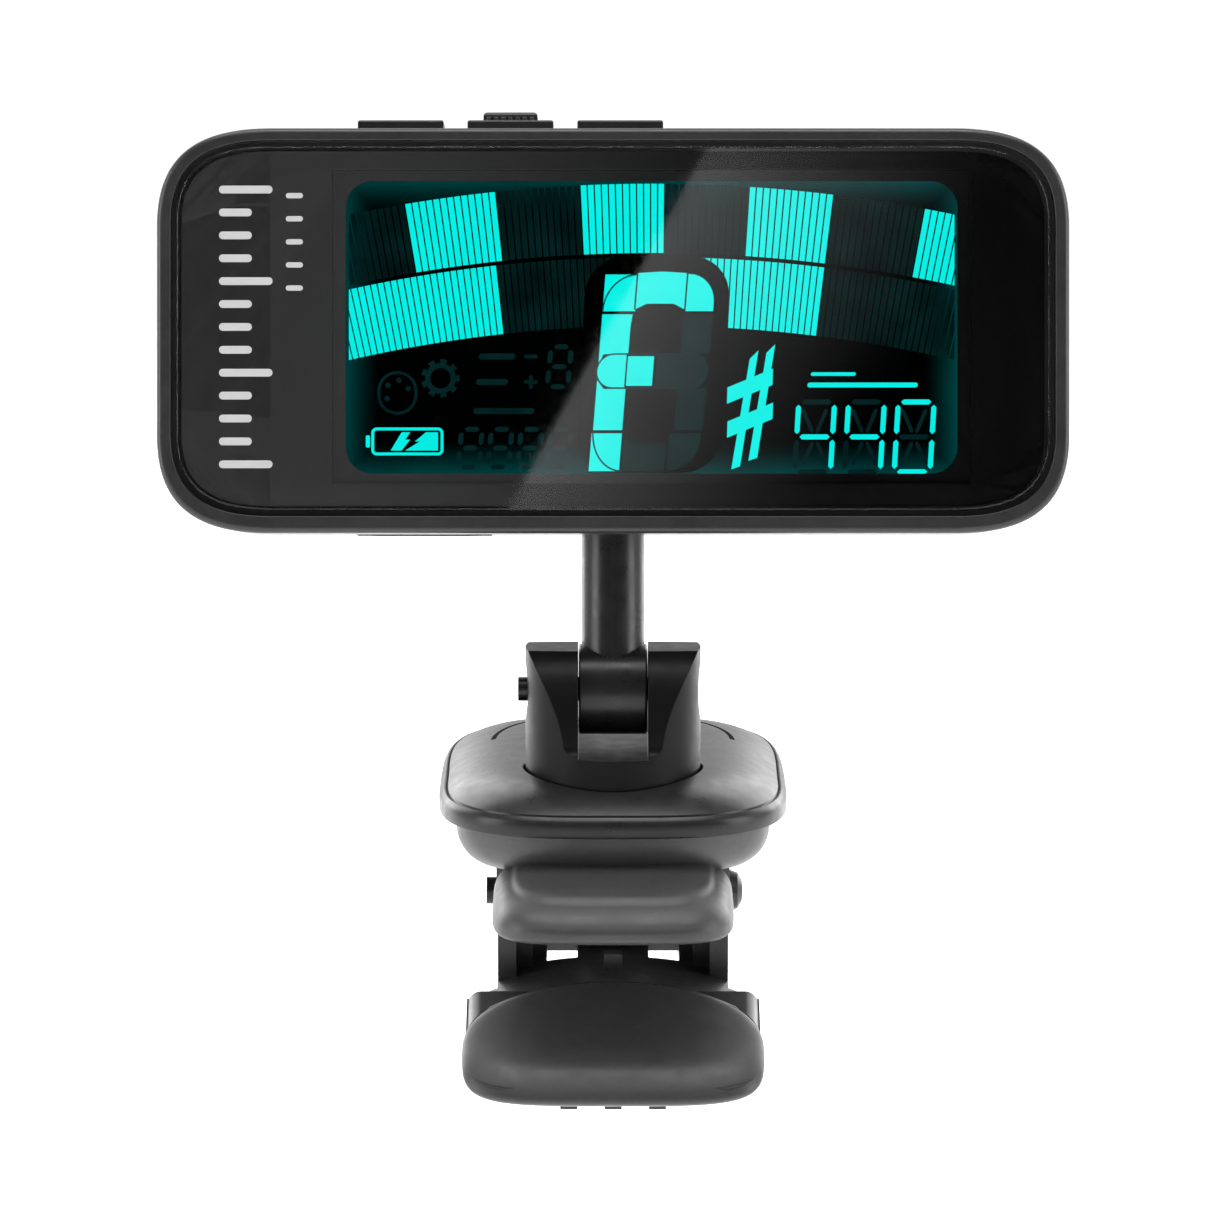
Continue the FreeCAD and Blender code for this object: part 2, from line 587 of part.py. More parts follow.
def post():
    wall = "head_low + shell"
    top = f"{wall} + washer_thick + nut_thick + neck_over"
    shaft = rod("post_shaft", ("0", "0", "0"), "z", "post_r", "head_low")
    neck = rod("post_neck", ("0", "0", "head_low - 1"), "z", "neck_r", f"{top} - head_low + 1")
    barrel = rod("post_barrel", ("-knuckle_wide / 2", "0", "0"), "x", "knuckle_r", "knuckle_wide")
    soft = rounded("post_soft", barrel, "0.2", lambda e: isinstance(e.Curve, Part.Circle))
    bore = rod("post_bore", ("-knuckle_wide", "0", "0"), "x", "pin_r + pin_slip", "2 * knuckle_wide")
    finish(cut("post", fuse("post_whole", shaft, neck, soft), bore), "post", "head")
    finish(ring_body("post_washer", "neck_r", "washer_r", wall, "washer_thick"), "post_washer", "head")
    nut = new_body("post_nut")
    drawing = sketch_on(nut, "nut_outline", "XY_Plane")
    drawing.setExpression("AttachmentOffset.Base.z", ex(f"{wall} + washer_thick"))
    flats = "nut_flats / 2"
    reach = f"{flats} / cos(30)"
    corners = [(f"{reach} * cos({a})", f"{reach} * sin({a})") for a in (0, 60, 120, 180, 240, 300)]
    polygon(drawing, corners)
    circle(drawing, ("0", "0"), "neck_r")
    pad(nut, "nut_pad", drawing, "nut_thick")
    finish(nut, "post_nut", "head")


def tilt_pin():
    points = [("-pin_left", "0"), ("pin_right", "0"), ("pin_right", "pin_r"), ("-pin_left", "pin_r")]
    finish(turned_body("tilt_pin", "XY_Plane", points, "H_Axis"), "tilt_pin", "clip")


def foot_edge(edge):
    """True for the two edges where the narrowed ears meet the turret's foot."""
    box = edge.BoundBox
    level = abs(box.ZMin - num("shoulder")) < 0.01 and abs(box.ZMax - num("shoulder")) < 0.01
    return level and max(abs(box.YMin), abs(box.YMax)) < num("ear_foot") + 0.01


def fork():
    drum = rod("fork_drum", ("0", "0", "seat"), "z", "turret_r", "ear_top - seat")
    # above its foot the drum is narrowed front and back by a long ellipsoid
    ball = doc.addObject("Part::Ellipsoid", "fork_waist")
    bind(ball, Radius1="ear_tall", Radius2="ear_long", Radius3="ear_foot")
    ball.Angle1 = -90
    locate(ball, ("0", "0", "shoulder"))
    foot = rod("fork_foot", ("0", "0", "seat"), "z", "turret_r + 1", "shoulder - seat")
    blank = both("fork_blank", drum, fuse("fork_side", ball, foot))
    shaped = rounded("fork_shaped", blank, "ear_foot_round", foot_edge)
    slot = box("fork_slot", ("-slot_wide / 2", "-turret_r - 1", "slot_floor"),
               ("slot_wide / 2", "turret_r + 1", "ear_top + 1"))
    bore = rod("fork_bore", ("-turret_r - 1", "0", "0"), "x", "pin_r", "turret_r + 1 + pin_right")
    dishes = []
    for tag, sign in (("left", "-"), ("right", "")):
        ball = doc.addObject("Part::Sphere", f"fork_dish_{tag}")
        bind(ball, Radius="dish_r")
        locate(ball, (f"{sign}(turret_r - dish_deep + dish_r)", "0", "0"))
        dishes.append(ball)
    slotted = cut("fork_slotted", shaped, slot, bore, *dishes)
    doc.recompute()
    stem = rod("fork_stem", ("0", "0", "roof_under - wave_thick"), "z", "stem_r",
               "seat - roof_under + wave_thick + 0.5")
    tap = rod("fork_tap", ("0", "0", "roof_under - wave_thick - 1"), "z", "swivel_shank_r",
              "swivel_long + 1")
    finish(cut("fork", fuse("fork_whole", slotted, stem), tap), "fork", "clip")


def swivel_parts():
    wave = "roof_under - wave_thick"
    keep = f"{wave} - keep_thick"
    finish(ring_body("wave_washer", "stem_r + stem_gap", "keep_r", wave, "wave_thick"), "wave_washer",
           "clip")
    finish(ring_body("retainer_washer", "swivel_shank_r", "keep_r", keep, "keep_thick"),
           "retainer_washer", "clip")
    low = f"{keep} - swivel_head"
    tip = f"{wave} + swivel_long"
    points = [
        ("0", low), ("swivel_head_r", low), ("swivel_head_r", keep), ("swivel_shank_r", keep),
        ("swivel_shank_r", tip), ("0", tip),
    ]
    finish(turned_body("swivel_screw", "XZ_Plane", points, "V_Axis"), "swivel_screw", "clip")


# ---------------------------------------------------------------- cap and upper arm


def cap_outline(name, inset):
    """The cap's plan outline set in all round: bowed front, straight sides and a straight rear."""
    drawing = doc.addObject("Sketcher::SketchObject", name)
    side = f"cap_half - ({inset})"
    back = f"cap_rear - ({inset})"
    bow = f"cap_bow - ({inset})"
    level = f"cap_front + cap_bow - sqrt(({bow}) * ({bow}) - ({side}) * ({side}))"
    half = num(side)
    rear = num(back)
    corner = num(level)
    front = num(f"cap_front + ({inset})")
    arc = Part.Arc(V(-half, corner, 0), V(0, front, 0), V(half, corner, 0))
    drawing.addGeometry(arc, False)
    drawing.addGeometry(Part.LineSegment(V(half, corner, 0), V(half, rear, 0)), False)
    drawing.addGeometry(Part.LineSegment(V(half, rear, 0), V(-half, rear, 0)), False)
    drawing.addGeometry(Part.LineSegment(V(-half, rear, 0), V(-half, corner, 0)), False)
    for a, b, c, d in ((0, 2, 1, 1), (1, 2, 2, 1), (2, 2, 3, 1), (3, 2, 0, 1)):
        drawing.addConstraint(Sketcher.Constraint("Coincident", a, b, c, d))
    for kind, geo, pos, rule in (("DistanceX", 1, 2, side), ("DistanceY", 1, 2, back),
                                 ("DistanceY", 1, 1, level)):
        rank = drawing.addConstraint(Sketcher.Constraint(kind, -1, 1, geo, pos, num(rule)))
        drawing.setExpression(f"Constraints[{rank}]", ex(rule))
    rank = drawing.addConstraint(Sketcher.Constraint("Radius", 0, num(bow)))
    drawing.setExpression(f"Constraints[{rank}]", ex(bow))
    drawing.addConstraint(Sketcher.Constraint("Vertical", 1))
    drawing.addConstraint(Sketcher.Constraint("Vertical", 3))
    drawing.addConstraint(Sketcher.Constraint("Symmetric", 1, 2, 2, 2, -2))
    drawing.addConstraint(Sketcher.Constraint("PointOnObject", 0, 3, -2))
    return drawing


def cap_block(name, inset, low, high):
    """The cap's outline set in and made solid between two heights, with its corners rounded."""
    outline = cap_outline(name + "_outline", inset)
    solid = prism(name + "_block", outline, V(0, 0, 1), f"({high}) - ({low})")
    solid.setExpression("Placement.Base.z", ex(low))
    middle = num("(cap_front + cap_rear) / 2")
    front = rounded(name + "_front", solid, f"cap_front_round - ({inset})",
                    lambda e: along_axis(e, V(0, 0, 1)) and e.CenterOfMass.y < middle)
    behind = num(f"cap_rear - ({inset})") - 0.5
    return rounded(name, front, f"cap_rear_round - ({inset})",
                   lambda e: along_axis(e, V(0, 0, 1)) and e.CenterOfMass.y > behind)


def dome(name, lift):
    """The gently domed top of the cap."""
    ball = doc.addObject("Part::Ellipsoid", name)
    bind(ball, Radius1="dome_tall", Radius2="dome_x", Radius3="dome_long")
    ball.Angle1 = -90
    locate(ball, ("0", "dome_y", f"dome_top + ({lift}) - dome_tall"))
    return ball


def screw_spots():
    return (("front", "0", "lug_screw_y"), ("left", "-rear_screw_x", "rear_screw_y"),
            ("right", "rear_screw_x", "rear_screw_y"))


def upper_cap():
    flange = both("cap_flange", cap_block("cap_edge", "0", "cap_low", "dome_top"),
                  dome("cap_dome_low", "-rim_step"))
    crown = both("cap_crown", cap_block("cap_inner", "rim_wide", "cap_low", "dome_top"),
                 dome("cap_dome_high", "0"))
    whole = fuse("cap_whole", flange, crown)
    inside = cap_block("cap_inside_block", "cap_wall", "cap_low - 1", "cap_inside")
    well = rod("cap_well", ("0", "0", "cap_low - 1"), "z", "keep_r + 0.3", "roof_under - cap_low + 1")
    seat = rod("cap_seat", ("0", "0", "seat"), "z", "turret_r + seat_gap", "4")
    hole = rod("cap_hole", ("0", "0", "cap_low - 1"), "z", "stem_r + stem_gap", "5")
    ring = cut("cap_ring", rod("cap_ring_out", ("0", "mark_y", "-10"), "z", "mark_r + mark_wide / 2", "5"),
               rod("cap_ring_in", ("0", "mark_y", "-11"), "z", "mark_r - mark_wide / 2", "7"),
               box("cap_ring_front", ("-20", "mark_y - 20", "-12"), ("20", "mark_y", "0")))
    mark = cut("cap_mark", ring, dome("cap_dome_mark", "-mark_deep"))
    hollow = cut("cap_hollow", whole, inside)
    bosses = []
    bores = []
    for tag, x, y in screw_spots():
        bosses.append(rod(f"cap_boss_{tag}", (x, y, "cap_low"), "z", "cap_boss_r",
                          "cap_inside - cap_low + 0.1"))
        bores.append(rod(f"cap_bore_{tag}", (x, y, "cap_low - 1"), "z", "shank_r",
                         "cap_screw_top - cap_low + 1.1"))
    finish(cut("upper_cap", fuse("cap_bossed", hollow, *bosses), well, seat, hole, mark, *bores),
           "upper_cap", "clip")


def beam_boxes(tag):
    """The stepped beam under the bowl that carries the upper finger pad."""
    root = box(f"{tag}_beam", ("-beam_half", "beam_root", "beam_low"),
               ("beam_half", "beam_rear", "bowl_low + 0.95"))
    tongue = box(f"{tag}_tongue", ("-beam_half", "tongue_front", "tongue_low"),
                 ("beam_half", "tongue_rear", "tongue_top"))
    return [root, tongue]


def upper_arm():
    block = cap_block("bowl_block", "bowl_in", "bowl_low", "cap_low")
    low = num("bowl_low")
    bowl = rounded("bowl_outer", block, "bowl_round",
                   lambda e: abs(e.BoundBox.ZMax - low) < 1e-4 and abs(e.BoundBox.ZMin - low) < 1e-4)
    inside = cap_block("bowl_inside", "bowl_in + bowl_wall", "bowl_floor", "cap_low + 1")
    hollow = cut("bowl_hollow", bowl, inside)
    extras = beam_boxes("arm")
    seat = box("arm_seat", ("-pad_half", "pad_front", "seat_low"),
               ("pad_half", "pad_rear", "bowl_low + 1"))
    extras.append(rounded("arm_seat_soft", seat, "pad_round", lambda e: along_axis(e, V(0, 0, 1))))
    for tag, sign in (("left", -1), ("right", 1)):
        start = "lug_in" if sign > 0 else "-lug_out"
        stop = "lug_out" if sign > 0 else "-lug_in"
        extras.append(rod(f"arm_lug_{tag}", (start, "hinge_y", "hinge_z"), "x", "lug_r",
                          "lug_out - lug_in"))
        extras.append(box(f"arm_web_{tag}", (start, "hinge_y - lug_r", "hinge_z"),
                          (stop, "hinge_y + lug_r", "bowl_low + 0.5")))
    tools = [rod("arm_bore", ("-lug_out - 1", "hinge_y", "hinge_z"), "x", "axle_r", "2 * lug_out + 2")]
    for tag, x, y in screw_spots():
        extras.append(rod(f"arm_boss_{tag}", (x, y, "bowl_floor - 0.5"), "z", "cap_boss_r",
                          "cap_low - bowl_floor + 0.5"))
        tools.append(rod(f"arm_bore_{tag}", (x, y, "bowl_low - 2"), "z", "shank_r + slip", "7"))
        tools.append(rod(f"arm_sink_{tag}", (x, y, "bowl_low - 2"), "z", "screw_head_r + slip",
                         "2 + screw_head"))
    finish(cut("upper_arm", fuse("arm_whole", hollow, *extras), *tools), "upper_arm", "clip")
    return bowl


def cap_screws():
    screws = []
    for tag, x, y in screw_spots():
        head = rod(f"cap_head_{tag}", (x, y, "bowl_low"), "z", "screw_head_r", "screw_head")
        shank = rod(f"cap_shank_{tag}", (x, y, "bowl_low + 0.2"), "z", "shank_r",
                    "cap_screw_top - bowl_low - 0.2")
        slot = box(f"cap_slot_{tag}", (f"{x} - slot_long / 2", f"{y} - slot_thick / 2", "bowl_low - 1"),
                   (f"{x} + slot_long / 2", f"{y} + slot_thick / 2", "bowl_low + slot_deep"))
        screws.append(cut(f"cap_cut_{tag}", fuse(f"cap_screw_{tag}", head, shank), slot))
    finish(fuse("cap_screws", *screws), "cap_screws", "clip")


def rounded_box(name, low, high, radius, pick=lambda e: True):
    """A box with its chosen vertical edges rounded."""
    plain = box(name + "_plain", low, high)
    return rounded(name, plain, radius, lambda e: along_axis(e, V(0, 0, 1)) and pick(e))


def upper_finger_pad(bowl):
    points = [
        ("finger_root", "finger_low"), ("finger_root", "finger_top"), ("finger_bend_y", "finger_bend"),
        ("finger_nose_y", "finger_nose"), ("finger_tip + finger_soft", "finger_nose - finger_soft"),
        ("finger_tip", "finger_edge"), ("finger_tip", "finger_edge - finger_soft"),
        ("finger_tip + 0.4", "finger_low + 0.3"), ("finger_tip + 1.2", "finger_low"),
    ]
    side = plate_body("finger_side", "YZ_Plane", points, "2 * finger_half", "-finger_half")
    plan = rounded_box("finger_plan", ("-finger_half", "finger_tip", "finger_low - 1"),
                       ("finger_half", "finger_root", "far_high"), "finger_round",
                       lambda e: e.CenterOfMass.y < num("finger_tip") + 1)
    shaped = both("finger_shaped", side, plan)
    ball = doc.addObject("Part::Sphere", "finger_scoop")
    bind(ball, Radius="scoop_r")
    locate(ball, ("0", "scoop_y", "scoop_floor + scoop_r"))
    finish(cut("upper_finger_pad", shaped, ball, bowl, *beam_boxes("finger")), "upper_finger_pad", "clip")


def jaw_pad(name, low, high, face_up):
    """A rubber jaw pad with shallow grooves across its gripping face."""
    body = new_body(name)
    drawing = sketch_on(body, name + "_outline", "XY_Plane")
    drawing.setExpression("AttachmentOffset.Base.z", ex(low))
    polygon(drawing, [("-pad_half", "pad_front"), ("pad_half", "pad_front"), ("pad_half", "pad_rear"),
                      ("-pad_half", "pad_rear")])
    slab = pad(body, name + "_pad", drawing, f"({high}) - ({low})")
    doc.recompute()
    corners = [f"Edge{n}" for n, e in enumerate(slab.Shape.Edges, start=1)
               if along_axis(e, V(0, 0, 1))]
    soft = body.newObject("PartDesign::Fillet", name + "_corners")
    soft.Base = (slab, corners)
    soft.setExpression("Radius", ex("pad_round"))
    doc.recompute()
    groove = sketch_on(body, name + "_groove_outline", "XY_Plane")
    level = high if face_up else low
    groove.setExpression("AttachmentOffset.Base.z", ex(level))
    first = "(pad_front + pad_rear) / 2 - rib_step * (rib_count - 1) / 2"
    reach = "pad_half - rib_edge"
    polygon(groove, [
        (f"-({reach})", f"{first} - rib_wide / 2"), (reach, f"{first} - rib_wide / 2"),
        (reach, f"{first} + rib_wide / 2"), (f"-({reach})", f"{first} + rib_wide / 2"),
    ])
    pocket = body.newObject("PartDesign::Pocket", name + "_groove")
    pocket.Profile = groove
    pocket.setExpression("Length", ex("rib_deep"))
    pocket.Reversed = not face_up
    doc.recompute()
    rows = body.newObject("PartDesign::LinearPattern", name + "_grooves")
    rows.Originals = [pocket]
    rows.Direction = (groove, ["V_Axis"])
    rows.setExpression("Length", ex("rib_step * (rib_count - 1)"))
    rows.setExpression("Occurrences", ex("rib_count"))
    body.Tip = rows
    finish(body, name, "clip")


def hinge_axle():
    points = [
        ("-axle_left", "0"), ("lug_out + axle_head", "0"),
        ("lug_out + axle_head - 0.1", "axle_head_r * 0.5"),
        ("lug_out + axle_head * 0.6", "axle_head_r * 0.85"), ("lug_out", "axle_head_r"),
        ("lug_out", "axle_r"), ("-axle_left", "axle_r"),
    ]
    axle = turned_body("hinge_axle", "XY_Plane", points, "H_Axis")
    finish(axle, "hinge_axle", "hinge")


# ---------------------------------------------------------------- lower arm


def grip_line(drop):
    """Side points of the lower finger grip's top surface, lowered by an expression."""
    return [("crest_y + 3", f"crest_z + 3 * (crest_z - tip_top) / (crest_y - paddle_tip) - ({drop})"),
            ("paddle_tip - 1", f"tip_top - (crest_z - tip_top) / (crest_y - paddle_tip) - ({drop})")]


def under_grip(name, drop, half):
    """Everything below the grip's top surface lowered by drop, as wide as half each way."""
    (ra, rz), (ta, tz) = grip_line(drop)
    points = [(ra, rz), (ta, tz), (ta, "far_low"), (ra, "far_low")]
    return plate_body(name, "YZ_Plane", points, f"2 * ({half})", f"-({half})")


def paddle_plan(name, rear):
    """The finger grip's outline from above, with rounded front corners."""
    return rounded_box(name, ("-paddle_half", "paddle_tip", "far_low"), ("paddle_half", rear, "far_high"),
                       "paddle_round", lambda e: e.CenterOfMass.y < num("paddle_tip") + 1)


def paddle_hull(name):
    """The rounded outside of the finger end: its lower edges and front corners share one radius."""
    block = box(name + "_block", ("-paddle_half", "paddle_tip", "paddle_low"),
                ("paddle_half", "jaw_rear + 1", "far_high"))

    def outer(edge):
        bottom = abs(edge.CenterOfMass.z - num("paddle_low")) < 0.01
        nose = abs(edge.CenterOfMass.y - num("paddle_tip")) < 0.01
        if along_axis(edge, V(0, 1, 0)):
            return bottom
        if along_axis(edge, V(1, 0, 0)):
            return bottom and nose
        return nose

    return rounded(name, block, "hull_round", outer)


def lower_finger_pad():
    plan = paddle_plan("grip_plan", "crest_y")
    disc = rod("grip_disc", ("0", "crest_y - arc_r", "far_low"), "z", "arc_r", "far_high - far_low")
    shield = both("grip_shield", plan, disc)
    top = under_grip("grip_top", "0", "paddle_half + 1")
    bottom = under_grip("grip_bottom", "grip_thick", "paddle_half + 1")
    layer = both("grip_layer", cut("grip_slab", both("grip_upper", shield, top), bottom),
                 paddle_hull("grip_hull"))
    finish(layer, "lower_finger_pad", "clip")
    return shield


def flank_edge(edge):
    """True for the straight sloping edge along the top of either side of the finger grip."""
    if not isinstance(edge.Curve, Part.Line):
        return False
    way = edge.Curve.Direction
    sloping = abs(way.y) > 0.5 and abs(way.z) > 0.1
    return sloping and abs(abs(edge.CenterOfMass.x) - num("paddle_half")) < 0.01


def lower_arm(shield):
    plan = paddle_plan("paddle_plan", "paddle_root")
    flank = under_grip("paddle_flank", "flank_drop", "paddle_half + 1")
    core = under_grip("paddle_core", "grip_thick", "paddle_half + 1")
    topped = rounded("paddle_topped", both("paddle_top", plan, flank), "flank_round", flank_edge)
    raised = cut("paddle_raised", topped, shield)
    deep = both("paddle_deep", plan, core)
    # the underside rises from the tip to the root
    floor = plate_body("paddle_floor", "YZ_Plane", [
        ("paddle_tip - 1", "paddle_low"), ("paddle_tip", "paddle_low"), ("floor_bend_y", "floor_bend"),
        ("floor_rear_y", "jaw_low"), ("jaw_rear + 1", "jaw_low"), ("jaw_rear + 1", "far_low"),
        ("paddle_tip - 1", "far_low"),
    ], "2 * paddle_half + 2", "-paddle_half - 1")
    paddle = fuse("paddle_whole", raised, deep)
    drum = rod("box_arch", ("0", "box_front", "arch_top - arch_r"), "y", "arch_r", "box_rear - box_front")
    block = box("box_block", ("-box_half", "box_front", "far_low"), ("box_half", "box_step", "far_high"))
    # behind the finger grip the lever is only as wide as its cheeks
    tail = box("box_tail", ("-cheek_out", "box_step - 1", "far_low"), ("cheek_out", "box_rear", "far_high"))
    # only the two edges where the arch meets the box's sides
    arched = rounded("box_arched", both("box_meet", block, drum), "arch_round",
                     lambda e: along_axis(e, V(0, 1, 0)) and e.CenterOfMass.z > num("paddle_low"))
    below = under_grip("box_core", "grip_thick", "paddle_half + 1")
    outside = cut("box_outside", fuse("box_both", arched, both("box_spine", tail, drum)), shield)
    inside = both("box_inside", both("box_lowered", arched, below), shield)
    jaw = rounded_box("jaw_block", ("-jaw_half", "jaw_front", "jaw_low"),
                      ("jaw_half", "jaw_rear", "jaw_top"), "jaw_round")
    stop = box("stop_block", ("-stop_half", "stop_front", "arch_top - 1"),
               ("stop_half", "stop_rear", "stop_top"))
    parts = [paddle, outside, inside, jaw, stop]
    tools = [floor]
    for tag, sign in (("left", -1), ("right", 1)):
        near = "inner_in" if sign > 0 else "-inner_out"
        parts.append(rod(f"inner_lug_{tag}", (near, "hinge_y", "hinge_z"), "x", "inner_r",
                         "inner_out - inner_in"))
        far = "inner_out" if sign > 0 else "-inner_in"
        parts.append(box(f"inner_web_{tag}", (near, "hinge_y - inner_r", "arch_top - inner_foot"),
                         (far, "hinge_y + inner_r", "hinge_z")))
        start = "inner_out - 0.1" if sign > 0 else "-cheek_out"
        end = "cheek_out" if sign > 0 else "-inner_out + 0.1"
        cheek = box(f"cheek_block_{tag}", (start, "cheek_front", "arch_top - cheek_foot"),
                    (end, "pad_front - cheek_gap", "cheek_top"))
        swing = rod(f"cheek_swing_{tag}", ("lug_in - 0.1" if sign > 0 else "-lug_out - 1", "hinge_y",
                                           "hinge_z"), "x", "lug_r + turn_gap", "lug_out - lug_in + 1.1")
        parts.append(cut(f"cheek_{tag}", cheek, swing))
        inner = "gate_in" if sign > 0 else "-gate_out"
        outer = "gate_out" if sign > 0 else "-gate_in"
        tools.append(box(f"gate_{tag}", (inner, "gate_front", "far_low"), (outer, "gate_rear", "far_high")))
    tools.append(rod("lower_bore", ("-lug_out - 1", "hinge_y", "hinge_z"), "x", "axle_r + axle_slip",
                     "2 * lug_out + 2"))
    whole = both("lower_whole", cut("lower_cut", fuse("lower_fused", *parts), *tools),
                 paddle_hull("lower_hull"))
    ribs = []
    for n in (-1, 0, 1):
        ribs.append(box(f"tip_rib_{n + 1}",
                        (f"{n} * rib_x - rib_tip_wide / 2", "paddle_tip + rib_tip_in",
                         "paddle_low - rib_tip_down"),
                        (f"{n} * rib_x + rib_tip_wide / 2", "paddle_tip + rib_tip_in + rib_tip_long",
                         "paddle_low + 0.5")))
    finish(fuse("lower_arm", whole, *ribs), "lower_arm", "clip")


def torsion_spring():
    """Coil round the hinge axle with one leg under the upper arm and one on the lower arm."""
    radius = num("coil_r")
    pitch = num("coil_pitch")
    turns = num("coil_turns")
    tilt = math.radians(num("leg_tilt"))
    first = math.pi / 2
    sweep = 2 * math.pi * (turns - 0.5) + math.pi + tilt
    length = pitch * sweep / (2 * math.pi)
    steps = 96
    points = []
    for n in range(steps + 1):
        angle = first - sweep * n / steps
        across = length * (n / steps - 0.5)
        points.append(V(across, radius * math.cos(angle), radius * math.sin(angle)))
    last = first - sweep
    ends = []
    for point, angle, reach, sense in ((points[0], first, num("leg_up"), 1),
                                       (points[-1], last, num("leg_down"), -1)):
        heading = V(0, -math.sin(angle) * sense, math.cos(angle) * sense)
        ends.append((point, heading, reach))
    curve = Part.BSplineCurve()
    curve.interpolate(points)
    path = Part.Wire([curve.toShape()])
    start = points[0]
    slope = curve.tangent(curve.FirstParameter)[0]
    ring = Part.Wire([Part.makeCircle(num("wire_r"), start, slope)])
    coil = path.makePipeShell([ring], True, True)
    spring = coil
    for point, heading, reach in ends:
        if heading.y > 0:
            heading = heading * -1
        leg = Part.makeCylinder(num("wire_r"), reach, point, heading)
        spring = spring.fuse(leg)
        spring = spring.fuse(Part.makeSphere(num("wire_r"), point))
    item = doc.addObject("Part::Feature", "torsion_spring")
    item.Shape = spring
    finish(item, "torsion_spring", "hinge")


# ---------------------------------------------------------------- build and export

front_bezel()
rear_cover()
display_window()
window_tape()
display_stack()
lcd_holder()
main_board()
battery()
piezo()
charging_port()
case_screws()
for button_tag, button_place in button_names():
    button(button_tag, button_place)
switches()
post()
tilt_pin()
fork()
swivel_parts()
upper_cap()
bowl_shape = upper_arm()
cap_screws()
upper_finger_pad(bowl_shape)
jaw_pad("upper_jaw_pad", "grip_up", "seat_low", False)
jaw_pad("lower_jaw_pad", "jaw_top", "grip_low", True)
hinge_axle()
grip_shield = lower_finger_pad()
lower_arm(grip_shield)
torsion_spring()
doc.recompute()

PIN = V(0, -num("pin_back"), num("pin_up"))
HINGE = PIN + V(0, num("hinge_y"), num("hinge_z"))
PLACES = {
    "head": FreeCAD.Placement(PIN, FreeCAD.Rotation(V(1, 0, 0), -num("lean"))),
    "clip": FreeCAD.Placement(PIN, FreeCAD.Rotation()),
    "hinge": FreeCAD.Placement(HINGE, FreeCAD.Rotation()),
}
for piece, piece_label, group in DONE:
    # a bound position belongs to the piece's own drawing, so the row's placement goes in front of it
    for bound, rule in list(piece.ExpressionEngine):
        if "Placement.Base" in bound:
            piece.setExpression(bound, None)
    piece.Placement = PLACES[group].multiply(piece.Placement)
doc.recompute()

broken = [thing.Name for thing in doc.Objects if "Invalid" in thing.State or "Error" in thing.State]
if broken:
    raise RuntimeError(f"these did not build: {broken}")
os.makedirs("parts", exist_ok=True)
for piece, piece_label, group in DONE:
    shape = piece.Shape
    if shape.isNull() or not shape.isValid() or not shape.Solids:
        raise RuntimeError(f"{piece_label} has no sound solid")
    shape.exportStep(f"parts/{piece_label}.step")
    print(f"{piece_label:20s} {len(shape.Solids)} {shape.Volume:9.2f}")
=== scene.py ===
import json
import math
import bmesh
import bpy
from mathutils import Matrix, Vector


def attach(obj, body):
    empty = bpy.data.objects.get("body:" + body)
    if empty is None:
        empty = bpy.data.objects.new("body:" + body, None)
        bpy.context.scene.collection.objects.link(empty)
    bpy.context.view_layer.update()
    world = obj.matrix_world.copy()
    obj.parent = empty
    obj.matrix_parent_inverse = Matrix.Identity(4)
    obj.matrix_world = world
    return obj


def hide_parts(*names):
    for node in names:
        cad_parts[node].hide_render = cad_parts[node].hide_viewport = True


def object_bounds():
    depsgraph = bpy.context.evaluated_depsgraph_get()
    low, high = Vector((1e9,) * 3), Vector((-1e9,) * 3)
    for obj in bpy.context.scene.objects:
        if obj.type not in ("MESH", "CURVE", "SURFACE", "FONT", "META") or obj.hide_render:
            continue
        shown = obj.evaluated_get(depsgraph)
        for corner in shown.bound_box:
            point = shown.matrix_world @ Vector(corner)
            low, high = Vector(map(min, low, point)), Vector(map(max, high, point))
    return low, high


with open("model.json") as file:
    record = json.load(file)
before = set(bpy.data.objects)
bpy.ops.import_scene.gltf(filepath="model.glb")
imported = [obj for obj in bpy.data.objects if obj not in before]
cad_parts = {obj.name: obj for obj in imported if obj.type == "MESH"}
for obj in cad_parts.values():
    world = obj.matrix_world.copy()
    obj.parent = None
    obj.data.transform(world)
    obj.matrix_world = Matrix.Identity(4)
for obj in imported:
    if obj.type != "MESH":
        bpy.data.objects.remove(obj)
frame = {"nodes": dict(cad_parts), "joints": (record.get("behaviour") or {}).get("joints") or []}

CAD_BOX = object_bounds()
MM = 0.001

# ---------------------------------------------------------------- the head's own axes

JOINTS = {joint["name"]: joint for joint in frame["joints"]}
PRESS = Vector(JOINTS["left_press"]["axis"])
LEAN = math.atan2(-PRESS.y, -PRESS.z)
PIN = Vector(JOINTS["head_tilt"]["pos_m"])
RIGHT = Vector((1, 0, 0))
UP = Vector((0, math.sin(LEAN), math.cos(LEAN)))
OUT = Vector((0, -math.cos(LEAN), math.sin(LEAN)))
HEAD_TURN = Matrix((RIGHT, UP, OUT)).transposed().to_4x4()


def head_span(node):
    """Lowest and highest (right, up, out) of a node, measured from the tilt pin along the head's axes."""
    points = [v.co - PIN for v in frame["nodes"][node].data.vertices]
    spans = []
    for axis in (RIGHT, UP, OUT):
        along = [p.dot(axis) for p in points]
        spans.append((min(along), max(along)))
    return spans


PANEL = head_span("lcd_panel")
WINDOW = head_span("display_window")
LCD_X = sum(PANEL[0]) / 2
LCD_Z = sum(PANEL[1]) / 2
GLASS_FRONT = PANEL[2][1]
WINDOW_BACK = WINDOW[2][0]


def head_frame(x, z, out):
    """A placement whose x is right, y is up and z points out of the display."""
    place = PIN + RIGHT * x + UP * z + OUT * out
    return Matrix.Translation(place) @ HEAD_TURN


# ---------------------------------------------------------------- meshes

SHARP_EDGE = math.radians(35)


